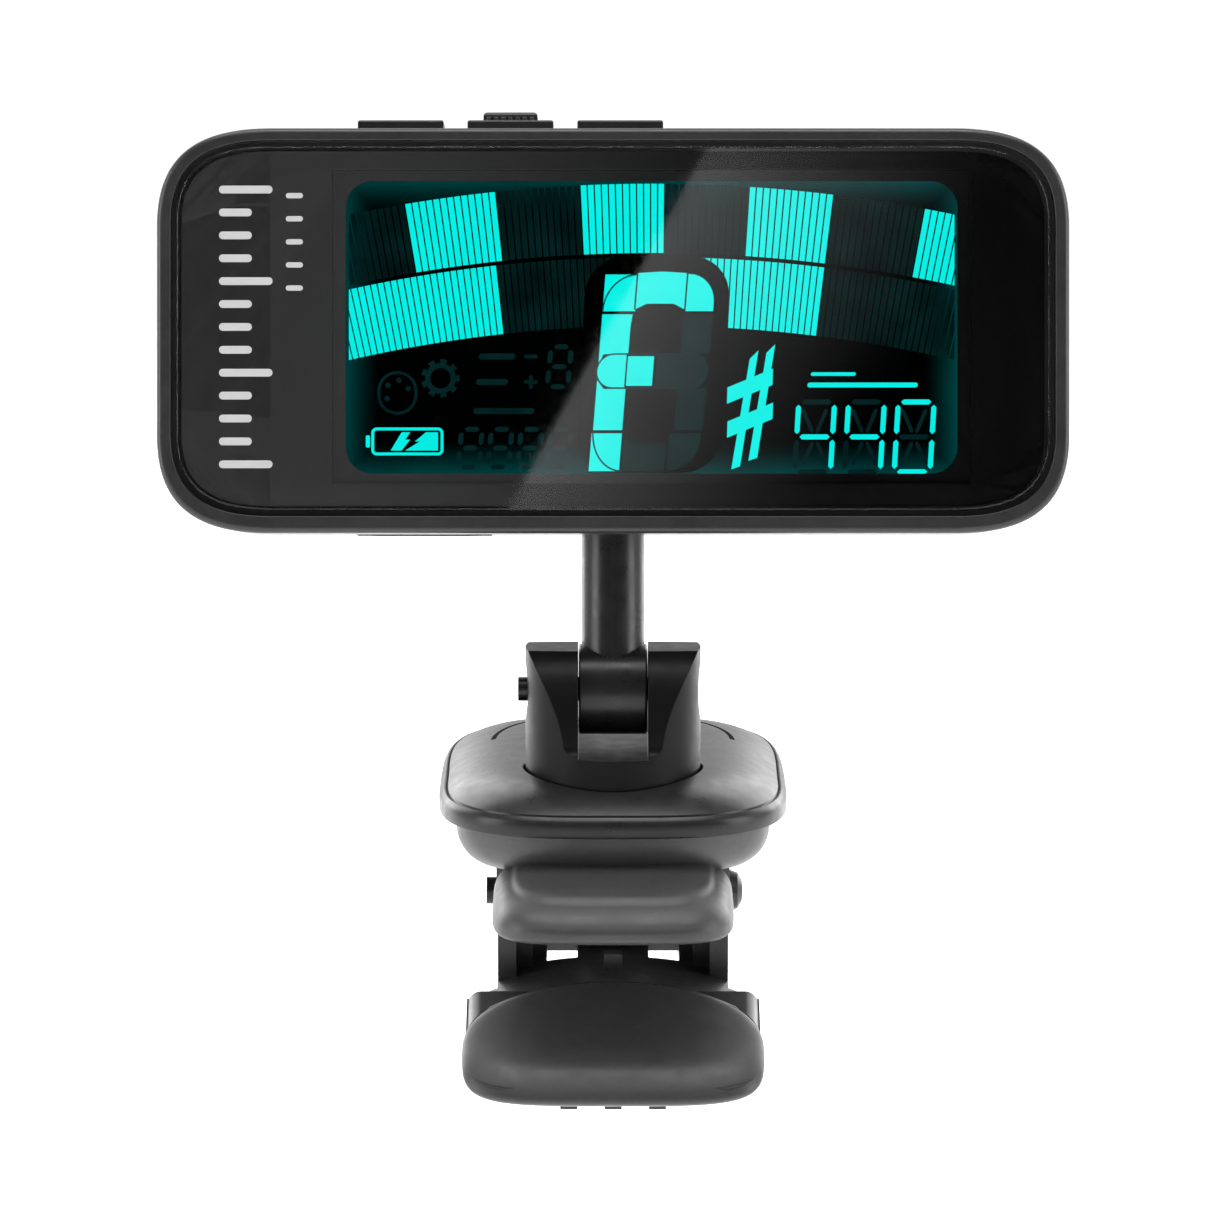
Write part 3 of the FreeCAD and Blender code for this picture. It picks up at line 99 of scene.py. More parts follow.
def new_object(name, points, faces, material):
    """A mesh object with one material, linked to the scene."""
    mesh = bpy.data.meshes.new(name)
    mesh.from_pydata(points, [], faces)
    mesh.materials.append(material)
    thing = bpy.data.objects.new(name, mesh)
    bpy.context.scene.collection.objects.link(thing)
    return thing


def smooth(mesh):
    """Smooth shading that stays crisp at real edges."""
    mesh.polygons.foreach_set("use_smooth", [True] * len(mesh.polygons))
    mesh.set_sharp_from_angle(angle=SHARP_EDGE)


# ---------------------------------------------------------------- materials


class Nodes:
    """A short way to add and join shader nodes."""

    def __init__(self, name):
        self.mat = bpy.data.materials.new(name)
        self.mat.use_nodes = True
        self.tree = self.mat.node_tree
        self.tree.nodes.clear()
        self.out = self.add("ShaderNodeOutputMaterial")

    def add(self, kind, **props):
        """A new node, with its settings and inputs given by name."""
        node = self.tree.nodes.new(kind)
        for key, value in props.items():
            if hasattr(node, key):
                setattr(node, key, value)
            else:
                node.inputs[key.replace("_", " ")].default_value = value
        return node

    def join(self, a, b):
        self.tree.links.new(a, b)

    def maths(self, operation, a, b=None):
        """One arithmetic step on sockets or plain numbers."""
        node = self.tree.nodes.new("ShaderNodeMath")
        node.operation = operation
        for slot, value in zip(node.inputs, (a, b)):
            if value is None:
                continue
            if isinstance(value, (int, float)):
                slot.default_value = value
            else:
                self.join(value, slot)
        return node.outputs[0]

    def spread(self, value, low, high, to_low, to_high, eased=False):
        """The value's range from low to high mapped to another range, held at its ends."""
        node = self.tree.nodes.new("ShaderNodeMapRange")
        if eased:
            node.interpolation_type = "SMOOTHSTEP"
        for slot, number in zip(node.inputs[1:5], (low, high, to_low, to_high)):
            slot.default_value = number
        self.join(value, node.inputs[0])
        return node.outputs[0]

    def noise(self, scale, detail=3.0, stretch=None):
        """Cloudy noise in the piece's own space; the scale is in cycles per metre."""
        where = self.add("ShaderNodeTexCoord").outputs["Object"]
        if stretch:
            mapping = self.tree.nodes.new("ShaderNodeMapping")
            mapping.inputs["Scale"].default_value = stretch
            self.join(where, mapping.inputs["Vector"])
            where = mapping.outputs[0]
        node = self.tree.nodes.new("ShaderNodeTexNoise")
        node.inputs["Scale"].default_value = scale
        node.inputs["Detail"].default_value = detail
        self.join(where, node.inputs["Vector"])
        return node.outputs["Fac"]

    def mix(self, factor, a, b):
        """Colour a turning to b as the factor goes from 0 to 1."""
        node = self.tree.nodes.new("ShaderNodeMix")
        node.data_type = "RGBA"
        self.join(factor, node.inputs["Factor"])
        for slot, value in ((node.inputs["A"], a), (node.inputs["B"], b)):
            if isinstance(value, tuple):
                slot.default_value = value
            else:
                self.join(value, slot)
        return node.outputs["Result"]


def grey(level, tint=(1.0, 1.0, 1.0)):
    """A grey, or a tinted one, as a shader colour."""
    return (level * tint[0], level * tint[1], level * tint[2], 1.0)


def moulded(name, level, rough, grain=5200.0, grain_depth=0.03, wear=0.35, tint=(1, 1, 1),
            soften=0.12, blotch=0.18, gloss=0.5):
    """Moulded plastic or rubber: cloudy colour, fine grain and worn edges.

    level is the grey of the colour, blotch its cloudiness and wear the strength of the pale edges.
    soften is the radius in mm that crisp CAD edges catch the light over. Smooth meshes use 0.
    """
    n = Nodes(name)
    body = n.add("ShaderNodeBsdfPrincipled")
    cloud = n.noise(140.0, 4.0)
    speck = n.noise(2600.0, 2.0)
    low = grey(level * (1 - blotch), tint)
    high = grey(level * (1 + blotch), tint)
    colour = n.mix(n.spread(cloud, 0.3, 0.7, 0.0, 1.0), low, high)
    colour = n.mix(n.spread(speck, 0.35, 0.75, 0.0, 0.35), colour, grey(level * 1.5, tint))
    flat = n.add("ShaderNodeNewGeometry")
    bump = n.add("ShaderNodeBump")
    if soften:
        soft = n.add("ShaderNodeBevel", samples=6)
        soft.inputs["Radius"].default_value = soften * MM
        meet = n.tree.nodes.new("ShaderNodeVectorMath")
        meet.operation = "DOT_PRODUCT"
        n.join(soft.outputs[0], meet.inputs[0])
        n.join(flat.outputs["Normal"], meet.inputs[1])
        edge = n.spread(meet.outputs["Value"], 0.93, 0.80, 0.0, 1.0)
        n.join(soft.outputs[0], bump.inputs["Normal"])
    else:
        edge = n.spread(flat.outputs["Pointiness"], 0.515, 0.60, 0.0, 1.0)
    patch = n.spread(n.noise(420.0, 3.0), 0.35, 0.65, 0.2, 1.0)
    worn = n.maths("MULTIPLY", n.maths("MULTIPLY", edge, patch), wear)
    colour = n.mix(worn, colour, grey(min(1.0, level * 2.4 + 0.03), tint))
    n.join(colour, body.inputs["Base Color"])
    shine = n.spread(n.noise(700.0, 3.0), 0.3, 0.7, rough - 0.05, rough + 0.06)
    n.join(n.maths("SUBTRACT", shine, n.maths("MULTIPLY", worn, 0.12)), body.inputs["Roughness"])
    bump.inputs["Strength"].default_value = grain_depth * 8
    bump.inputs["Distance"].default_value = 0.02 * MM
    n.join(n.noise(grain, 2.0), bump.inputs["Height"])
    n.join(bump.outputs[0], body.inputs["Normal"])
    body.inputs["Specular IOR Level"].default_value = gloss
    n.join(body.outputs[0], n.out.inputs["Surface"])
    return n.mat


def brushed(name, level, tint=(1, 1, 1), rough=0.3):
    """Drawn or brushed metal with fine streaks."""
    n = Nodes(name)
    body = n.add("ShaderNodeBsdfPrincipled", Metallic=1.0)
    streak = n.noise(900.0, 4.0, (1.0, 12.0, 12.0))
    colour = n.mix(n.spread(streak, 0.3, 0.7, 0.0, 1.0), grey(level * 0.8, tint), grey(level * 1.15, tint))
    n.join(colour, body.inputs["Base Color"])
    n.join(n.spread(streak, 0.3, 0.7, rough - 0.08, rough + 0.1), body.inputs["Roughness"])
    bump = n.add("ShaderNodeBump")
    bump.inputs["Strength"].default_value = 0.2
    bump.inputs["Distance"].default_value = 0.01 * MM
    n.join(streak, bump.inputs["Height"])
    n.join(bump.outputs[0], body.inputs["Normal"])
    n.join(body.outputs[0], n.out.inputs["Surface"])
    return n.mat


def window_glass():
    """Clear hard-coated panel: straight through, with a mirror-like first surface."""
    n = Nodes("window_panel")
    clear = n.add("ShaderNodeBsdfTransparent")
    clear.inputs["Color"].default_value = (0.97, 0.97, 0.97, 1)
    shine = n.add("ShaderNodeBsdfGlossy")
    shine.inputs["Color"].default_value = (1, 1, 1, 1)
    dust = n.spread(n.noise(1800.0, 2.0), 0.4, 0.8, 0.015, 0.05)
    n.join(dust, shine.inputs["Roughness"])
    fresnel = n.add("ShaderNodeFresnel")
    fresnel.inputs["IOR"].default_value = 1.36
    mixer = n.add("ShaderNodeMixShader")
    n.join(fresnel.outputs[0], mixer.inputs[0])
    n.join(clear.outputs[0], mixer.inputs[1])
    n.join(shine.outputs[0], mixer.inputs[2])
    n.join(mixer.outputs[0], n.out.inputs["Surface"])
    return n.mat


def black_print_painted_reflection():
    """The black print round the display; a painted reflection makes it greyer and faintly aglow towards the
    left.
    """
    n = Nodes("printed_border_painted_reflection")
    body = n.add("ShaderNodeBsdfPrincipled", Roughness=0.6)
    where = n.add("ShaderNodeNewGeometry")
    split = n.add("ShaderNodeSeparateXYZ")
    n.join(where.outputs["Position"], split.inputs[0])
    # Painted reflection: a greyer colour and a faint glow towards the left stand in for soft light mirrored
    # in the print.
    fade = n.spread(split.outputs["X"], -24 * MM, 20 * MM, 0.0, 1.0, True)
    colour = n.mix(fade, grey(0.026), grey(0.003))
    body.inputs["Emission Color"].default_value = (1, 1, 1, 1)
    n.join(n.spread(fade, 0.0, 1.0, 0.027, 0.001), body.inputs["Emission Strength"])
    speck = n.noise(3000.0, 2.0)
    colour = n.mix(n.spread(speck, 0.5, 0.8, 0.0, 0.25), colour, grey(0.012))
    n.join(colour, body.inputs["Base Color"])
    body.inputs["Specular IOR Level"].default_value = 0.15
    n.join(body.outputs[0], n.out.inputs["Surface"])
    return n.mat


CYAN = (0.0024, 0.91, 0.83)
FAINT_CYAN = (0.1, 1.0, 1.0)


def glowing(name, strength, colour=CYAN, spread=0.04):
    """Backlit ink with faint unevenness."""
    n = Nodes(name)
    body = n.add("ShaderNodeBsdfPrincipled", Roughness=0.6)
    body.inputs["Base Color"].default_value = (0, 0, 0, 1)
    body.inputs["Specular IOR Level"].default_value = 0.0
    uneven = n.spread(n.noise(260.0, 3.0), 0.3, 0.7, strength * (1 - spread), strength * (1 + spread))
    body.inputs["Emission Color"].default_value = (*colour, 1)
    n.join(uneven, body.inputs["Emission Strength"])
    n.join(body.outputs[0], n.out.inputs["Surface"])
    return n.mat


def backlit_ground(half_wide, half_tall):
    """Black display ground with a teal glow leaking in from its border."""
    n = Nodes("display_ground")
    body = n.add("ShaderNodeBsdfPrincipled", Roughness=0.5)
    body.inputs["Base Color"].default_value = (0.0006, 0.0012, 0.0012, 1)
    body.inputs["Specular IOR Level"].default_value = 0.0
    where = n.add("ShaderNodeTexCoord")
    split = n.add("ShaderNodeSeparateXYZ")
    n.join(where.outputs["Object"], split.inputs[0])
    side = n.maths("SUBTRACT", half_wide, n.maths("ABSOLUTE", split.outputs["X"]))
    top = n.maths("SUBTRACT", half_tall, n.maths("ABSOLUTE", split.outputs["Y"]))
    near = n.maths("MINIMUM", side, top)
    rim = n.maths("POWER", n.spread(near, 0.0, 3.0 * MM, 1.0, 0.0), 2.2)
    cloudy = n.spread(n.noise(110.0, 3.0), 0.3, 0.7, 0.75, 1.15)
    body.inputs["Emission Color"].default_value = (0.0, 0.052, 0.052, 1)
    n.join(n.maths("MULTIPLY", rim, cloudy), body.inputs["Emission Strength"])
    n.join(body.outputs[0], n.out.inputs["Surface"])
    return n.mat


def green_board():
    """Green solder mask with paler tracks under it."""
    n = Nodes("board_mask")
    body = n.add("ShaderNodeBsdfPrincipled", Roughness=0.35)
    tracks = n.add("ShaderNodeTexWave")
    tracks.inputs["Scale"].default_value = 420.0
    tracks.inputs["Distortion"].default_value = 5.0
    n.join(n.add("ShaderNodeTexCoord").outputs["Object"], tracks.inputs["Vector"])
    lines = n.spread(tracks.outputs["Fac"], 0.75, 0.85, 0.0, 1.0)
    n.join(n.mix(lines, (0.008, 0.07, 0.025, 1), (0.02, 0.16, 0.06, 1)), body.inputs["Base Color"])
    n.join(body.outputs[0], n.out.inputs["Surface"])
    return n.mat


def clad(material, *names):
    """Gives the CAD nodes a material."""
    for name in names:
        mesh = frame["nodes"][name].data
        mesh.materials.clear()
        mesh.materials.append(material)


def dress_frame():
    """Materials for every piece carried over from the CAD."""
    clad(moulded("bezel_plastic", 0.020, 0.33, wear=0.30), "front_bezel")
    clad(moulded("cover_plastic", 0.020, 0.34, wear=0.30, gloss=0.85), "rear_cover")
    clad(moulded("button_plastic", 0.018, 0.34, wear=0.45), "left_button", "centre_button", "right_button")
    clad(moulded("post_plastic", 0.008, 0.30, grain_depth=0.006, wear=0.0, blotch=0.06, soften=0, gloss=0.4),
         "post")
    clad(moulded("turret_plastic", 0.005, 0.34, grain_depth=0.004, wear=0.2, blotch=0.08, gloss=0.10), "fork")
    clad(moulded("arm_plastic", 0.050, 0.40, grain_depth=0.003, wear=0.25, blotch=0.08), "upper_arm")
    clad(moulded("lever_plastic", 0.022, 0.34, grain_depth=0.002, wear=0.12, blotch=0.08, soften=0.05),
         "lower_arm")
    clad(moulded("jaw_rubber", 0.014, 0.62, grain=2600.0, grain_depth=0.08, wear=0.15),
         "upper_jaw_pad", "lower_jaw_pad")
    clad(moulded("port_collar_plastic", 0.012, 0.35), "port_surround")
    clad(brushed("blackened_steel", 0.045, rough=0.36), "tilt_pin", "hinge_axle", "case_screws", "cap_screws",
         "swivel_screw", "retainer_washer", "post_nut", "post_washer")
    clad(brushed("spring_wire", 0.42, rough=0.26), "torsion_spring", "wave_washer")
    clad(brushed("drawn_steel", 0.45, rough=0.28), "usb_c_socket")
    clad(brushed("sensor_brass", 0.55, (1.0, 0.72, 0.32), 0.32), "piezo_disc")
    clad(brushed("cell_foil", 0.55, rough=0.4), "battery_pack")
    clad(moulded("chip_epoxy", 0.02, 0.5, soften=0.05), "board_chips", "tact_switches")
    clad(moulded("foam_pad", 0.10, 0.85, grain=2200.0, grain_depth=0.15), "battery_pad")
    clad(moulded("layered_rubber", 0.16, 0.6), "zebra_strip")
    clad(moulded("holder_plastic", 0.55, 0.5, blotch=0.05), "lcd_holder")
    clad(moulded("milky_acrylic", 0.6, 0.25, blotch=0.05, tint=(0.95, 1.0, 1.0)), "light_guide")
    clad(moulded("polarised_panel", 0.003, 0.25, soften=0.05), "lcd_panel")
    clad(green_board(), "main_board")
    clad(window_glass(), "display_window")
    # The window tape's print carries a painted reflection, greyer and faintly glowing towards the left.
    clad(black_print_painted_reflection(), "window_tape")


# ---------------------------------------------------------------- smooth clip pieces, in mm from the tilt pin


def skin(name, rings, material, body, nodes=(), closed=False):
    """A solid skin through rings of equal length; open ends are capped, closed rings join up."""
    count = len(rings[0])
    points = [PIN + Vector(p) * MM for ring in rings for p in ring]
    faces = []
    spans = len(rings) if closed else len(rings) - 1
    for r in range(spans):
        here = r * count
        after = (r + 1) % len(rings) * count
        for n in range(count):
            m = (n + 1) % count
            faces.append((here + n, here + m, after + m, after + n))
    if not closed:
        faces.append(tuple(reversed(range(count))))
        faces.append(tuple(range((len(rings) - 1) * count, len(rings) * count)))
    piece = new_object(name, points, faces, material)
    work = bmesh.new()
    work.from_mesh(piece.data)
    bmesh.ops.recalc_face_normals(work, faces=work.faces)
    work.to_mesh(piece.data)
    work.free()
    smooth(piece.data)
    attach(piece, body)
    if nodes:
        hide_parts(*nodes)
    return piece


def power(value, exponent):
    """The value's size raised to a power, keeping its sign."""
    return math.copysign(abs(value) ** exponent, value)


def turns(count):
    """Evenly spaced angles round a circle."""
    return [2 * math.pi * (n + 0.5) / count for n in range(count)]


CAP_HALF = 14.6
CAP_MID = 4.0
CAP_FRONT = 15.1
CAP_BACK = 25.5
CAP_TOP = -6.35
CAP_DROP = 2.75
CAP_LOW = -10.38
RECESS_R = 7.46
RECESS_FLOOR = -7.7
STEM_HOLE = 3.05
MARK_R = 10.2
MARK_Y = 12.6
MARK_DEEP = 0.24


def cap_half(behind):
    """Depth and squareness of the cap's outline behind or in front of its middle."""
    return (CAP_BACK, 4.0) if behind else (CAP_FRONT, 3.0)


def cap_edge(turn, inset=0.0):
    """A point on the cap's outline, or inside it by the inset."""
    deep, n = cap_half(math.sin(turn) > 0)
    across = abs(math.cos(turn) / CAP_HALF) ** n
    along = abs(math.sin(turn) / deep) ** n
    r = (across + along) ** (-1 / n) - inset
    return (r * math.cos(turn), CAP_MID + r * math.sin(turn))


def cap_dome(x, y):
    """Height of the cap's domed top."""
    deep, n = cap_half(y > CAP_MID)
    rho = (abs(x / CAP_HALF) ** n + abs((y - CAP_MID) / deep) ** n) ** (1 / n)
    return CAP_TOP - CAP_DROP * rho ** 4.5


def cap_rings():
    """Rings round the cap: up its stem hole, over the dome, down the rim and back underneath."""
    count = 224
    rings = []

    def flat(radius, z):
        rings.append([(radius * math.cos(t), radius * math.sin(t), z) for t in turns(count)])

    def along_edge(inset, z):
        rings.append([(*cap_edge(t, inset), z) for t in turns(count)])

    def follow(inset, drop):
        ring = []
        for t in turns(count):
            x, y = cap_edge(t, inset)
            ring.append((x, y, cap_dome(x, y) - drop))
        rings.append(ring)

    flat(STEM_HOLE, -9.0)
    flat(STEM_HOLE, RECESS_FLOOR)
    flat(RECESS_R - 0.25, RECESS_FLOOR)
    steps = 34
    for drop in (0.45, 0.12):
        ring = []
        for t in turns(count):
            x = RECESS_R * math.cos(t)
            y = RECESS_R * math.sin(t)
            ring.append((x, y, cap_dome(x, y) - drop))
        rings.append(ring)
    for k in range(steps + 1):
        share = 1 - (1 - k / steps) ** 1.5
        ring = []
        for t in turns(count):
            ex, ey = cap_edge(t, 0.78)
            x = (RECESS_R + 0.1) * math.cos(t) * (1 - share) + ex * share
            y = (RECESS_R + 0.1) * math.sin(t) * (1 - share) + ey * share
            ring.append((x, y, cap_dome(x, y)))
        rings.append(ring)
    # groove inside the rim, the rim's rounded top, and the wall
    follow(0.72, 0.16)
    follow(0.64, 0.18)
    follow(0.58, -0.02)
    follow(0.46, -0.10)
    follow(0.22, -0.08)
    follow(0.07, 0.04)
    follow(0.0, 0.24)
    along_edge(0.0, CAP_LOW + 0.22)
    along_edge(0.06, CAP_LOW + 0.06)
    along_edge(0.22, CAP_LOW)
    along_edge(1.35, CAP_LOW)
    along_edge(1.4, CAP_LOW + 0.5)
    flat(5.6, -9.8)
    flat(5.6, -9.0)
    return rings


def tube(path, radius, sides=10):
    """A round bar along a path, used as a cutting tool."""
    rings = []
    for n, here in enumerate(path):
        before = Vector(path[max(n - 1, 0)])
        after = Vector(path[min(n + 1, len(path) - 1)])
        way = (after - before).normalized()
        side = way.cross(Vector((0, 0, 1))).normalized()
        top = side.cross(way)
        ring = []
        for a in turns(sides):
            ring.append(tuple(Vector(here) + side * radius * math.cos(a) + top * radius * math.sin(a)))
        rings.append(ring)
    return rings


def engrave(piece, path, radius, groove_painted_shade):
    """Cuts a fine round-bottomed groove along a path into the piece; its cut faces take the given near-black
    material as painted shade.
    """
    bar = skin(piece.name + "_groove_tool", tube(path, radius), groove_painted_shade, "upper")
    cutter = piece.modifiers.new("groove", "BOOLEAN")
    cutter.operation = "DIFFERENCE"
    cutter.solver = "EXACT"
    cutter.material_mode = "TRANSFER"
    cutter.object = bar
    bpy.context.view_layer.update()
    seen = piece.evaluated_get(bpy.context.evaluated_depsgraph_get())
    carved = bpy.data.meshes.new_from_object(seen)
    piece.modifiers.remove(cutter)
    piece.data = carved
    smooth(carved)
    bpy.data.objects.remove(bar)


def cap(material):
    """The domed cap with a fine arc engraved behind the turret."""
    piece = skin("cap_shell", cap_rings(), material, "upper", ("upper_cap",), closed=True)
    path = []
    for n in range(61):
        t = math.pi * n / 60
        x = MARK_R * math.cos(t)
        y = MARK_Y + MARK_R * math.sin(t)
        path.append((x, y, cap_dome(x, y)))
    # Painted shade: a near-black material on the groove's faces stands in for the shadow inside it.
    groove_painted_shade = moulded("groove_shadow", 0.003, 0.7, grain_depth=0.001, wear=0.0, soften=0, gloss=0.05)
    engrave(piece, path, MARK_DEEP, groove_painted_shade)


FINGER_HALF = 9.9
FINGER_BACK = -5.0
FINGER_LONG = 14.5
FINGER_MID = -16.55
FINGER_RISE = 3.65
FINGER_DROP = 1.1
FINGER_STEP = 0.26


def finger_rings():
    """Sections of the upper finger pad from its root to its nose, with a shallow step round its top."""
    rings = []
    steps = 44
    for k in range(steps + 1):
        t = 1 - (1 - k / steps) ** 2.2
        t = min(t, 0.9995)
        y = FINGER_BACK - FINGER_LONG * t
        half = FINGER_HALF * (1 - t ** 7) ** (1 / 4)
        high = FINGER_RISE * (1 - t ** 3.0) ** (1 / 2.2)
        low = FINGER_DROP * (1 - t ** 9) ** (1 / 3)
        ring = []
        for a in turns(160):
            x = half * power(math.cos(a), 0.42)
            if math.sin(a) > 0:
                z = high * power(math.sin(a), 0.72)
                rho = (abs(x / FINGER_HALF) ** 5 + t ** 5) ** 0.2
                step = min(max((rho - 0.80) / 0.05, 0), 1)
                z -= FINGER_STEP * step * step * (3 - 2 * step) * min(1, z)
            else:
                z = low * power(math.sin(a), 0.5)
            ring.append((x, y, FINGER_MID + z))
        rings.append(ring)
    return rings


PADDLE_HALF = 12.35
PADDLE_MID = -14.5
PADDLE_FRONT = 5.75
PADDLE_SLOPE = 0.363
PADDLE_LOW = -31.05
PADDLE_CROWN = 0.30
CREST_Y = -6.35
CREST_Z = -23.3
NOSE_LONG = 9.75
CREST_LIP = 0.45
NOSE_LIP = 1.25


def paddle_rings():
    """The lower finger pad: a sloping pillow with a crisp arched crest and a soft nose."""
    count = 200
    upper = []
    lower = []
    back = CREST_Y - PADDLE_MID
    steps = 36
    for k in range(1, steps + 1):
        rho = math.sin(math.pi / 2 * k / steps) ** 0.7
        top_ring = []
        low_ring = []
        for t in turns(count):
            deep, n = (back, 2.0) if math.sin(t) > 0 else (PADDLE_FRONT, 4.0)
            r = (abs(math.cos(t) / PADDLE_HALF) ** n + abs(math.sin(t) / deep) ** n) ** (-1 / n)
            x = rho * r * math.cos(t)
            y = PADDLE_MID + rho * r * math.sin(t)
            plane = CREST_Z - PADDLE_SLOPE * (CREST_Y - y)
            near = min(max((PADDLE_MID + 4 - y) / NOSE_LONG, 0), 1)
            near = near * near * (3 - 2 * near)
            lip = CREST_LIP + NOSE_LIP * near
            crisp = 26 - 23.2 * near
            middle = plane - lip
            crown = PADDLE_CROWN * (1 - rho ** 2)
            z = middle + lip * (1 - rho ** crisp) ** 0.5 + crown
            top_ring.append((x, y, z))
            floor_z = PADDLE_LOW + 0.0166 * max(0.0, y + 19.0) ** 2
            z = middle - (middle - floor_z) * (1 - rho ** (8 - 4 * near)) ** 0.5
            low_ring.append((x, y, z))
        upper.append(top_ring)
        lower.append(low_ring)
    return upper + lower[-2::-1]


def clip_skins():
    """The cap and the two finger pads, which stand for their plainer CAD solids."""
    cap(moulded("cap_plastic", 0.012, 0.32, grain=2400.0, grain_depth=0.001, wear=0.0, soften=0,
                blotch=0.06, gloss=0.35))
    skin("upper_finger_rubber", finger_rings(),
         moulded("finger_rubber", 0.036, 0.46, grain=2400.0, grain_depth=0.005, wear=0.1, soften=0,
                 blotch=0.05),
         "upper", ("upper_finger_pad",))
    skin("lower_finger_rubber", paddle_rings(),
         moulded("grip_rubber", 0.033, 0.44, grain=2400.0, grain_depth=0.005, wear=0.1, soften=0,
                 blotch=0.05),
         "lower", ("lower_finger_pad",))


# ---------------------------------------------------------------- display artwork

VIEW_WIDE = 50.4
VIEW_TALL = 24.1
VIEW_CORNER = 2.2
INK = 0.05


def clip_to_view(outline, half_wide, half_tall):
    """The outline cut off at the view's four sides."""
    sides = ((0, half_wide, 1), (0, -half_wide, -1), (1, half_tall, 1), (1, -half_tall, -1))
    for axis, limit, sense in sides:
        kept = []
        for n, here in enumerate(outline):
            after = outline[(n + 1) % len(outline)]
            inside = (limit - here[axis]) * sense >= 0
            inside_after = (limit - after[axis]) * sense >= 0
            if inside:
                kept.append(here)
            if inside != inside_after:
                part = (limit - here[axis]) / (after[axis] - here[axis])
                kept.append(tuple(a + (b - a) * part for a, b in zip(here, after)))
        outline = kept
        if len(outline) < 3:
            return []
    return outline


def area(outline):
    """The outline's area, negative when it runs clockwise."""
    pairs = zip(outline, outline[1:] + outline[:1])
    return sum(a[0] * b[1] - b[0] * a[1] for a, b in pairs) / 2


def ink(name, outlines, material, level, thick=INK, out=GLASS_FRONT):
    """Thin raised ink shapes, drawn in millimetres about the display's middle, level above the glass."""
    points = []
    faces = []
    for outline in outlines:
        if len(outline) < 3:
            continue
        if area(outline) < 0:
            outline = outline[::-1]
        first = len(points)
        count = len(outline)
        points += [(a * MM, b * MM, level * MM) for a, b in outline]
        points += [(a * MM, b * MM, (level + thick) * MM) for a, b in outline]
        faces.append(tuple(reversed(range(first, first + count))))
        faces.append(tuple(range(first + count, first + 2 * count)))
        for n in range(count):
            after = (n + 1) % count
            faces.append((first + n, first + after, first + count + after, first + count + n))
    piece = new_object(name, points, faces, material)
    piece.matrix_world = head_frame(LCD_X, LCD_Z, out)
    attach(piece, "head")


def soft_rect(x0, z0, x1, z1, corner, steps=8):
    """A rectangle with round corners."""
    points = []
    for cx, cz, start in ((x1 - corner, z1 - corner, 0), (x0 + corner, z1 - corner, 90),
                          (x0 + corner, z0 + corner, 180), (x1 - corner, z0 + corner, 270)):
        for n in range(steps + 1):
            turn = math.radians(start + 90 * n / steps)
            points.append((cx + corner * math.cos(turn), cz + corner * math.sin(turn)))
    return points


def band(outer, inner):
    """The closed band between two outlines of equal length, as quads."""
    count = len(outer)
    return [[outer[n], outer[(n + 1) % count], inner[(n + 1) % count], inner[n]] for n in range(count)]


def shear(points, slant, base=0.0):
    """The points leant over to the right above the base height."""
    return [(x + slant * (z - base), z) for x, z in points]


def segment(x0, z0, x1, z1, wide, bevel=0.5):
    """A display segment: a bar between two points with pointed ends."""
    dx, dz = x1 - x0, z1 - z0
    long = math.hypot(dx, dz)
    ux, uz = dx / long, dz / long
    half = wide / 2
    tip = half * bevel * 2
    shape = [(0, 0), (tip, half), (long - tip, half), (long, 0), (long - tip, -half), (tip, -half)]
    return [(x0 + a * ux - b * uz, z0 + a * uz + b * ux) for a, b in shape]


ARC_TOP = 11.84
ARC_R = 123.2
BAR_PITCH = math.radians(0.2707)
BAR_WIDE = 0.80
BANDS = (
    (0.0, 5.7, ((-9.4, -6.1), (-2.75, 0.47), (3.88, 7.1), (10.5, 13.8))),
    (6.04, 11.7, ((-12.9, -6.15), (0.47, 7.1))),
)


def strobe_bars():
    """Two arched rows of radial bars, some lit and the rest faint."""
    lit = []
    dim = []
    half_wide = VIEW_WIDE / 2 - 0.25
    half_tall = VIEW_TALL / 2 - 0.2
    for near, far, ranges in BANDS:
        for n in range(-48, 49):
            angle = (n + 0.35) * BAR_PITCH
            half = BAR_PITCH * BAR_WIDE / 2
            bar = []
            for side, depth in ((-half, near), (half, near), (half, far), (-half, far)):
                radius = ARC_R - depth
                bar.append((radius * math.sin(angle + side),
                            ARC_TOP - ARC_R + radius * math.cos(angle + side)))
            bar = clip_to_view(bar, half_wide, half_tall)
            if not bar:
                continue
            degrees = math.degrees(angle)
            is_lit = any(low <= degrees <= high for low, high in ranges)
            (lit if is_lit else dim).append(bar)
    return lit, dim


NOTE = {"x0": -4.45, "z0": -11.85, "x1": 4.65, "z1": 4.35, "slant": 0.08}


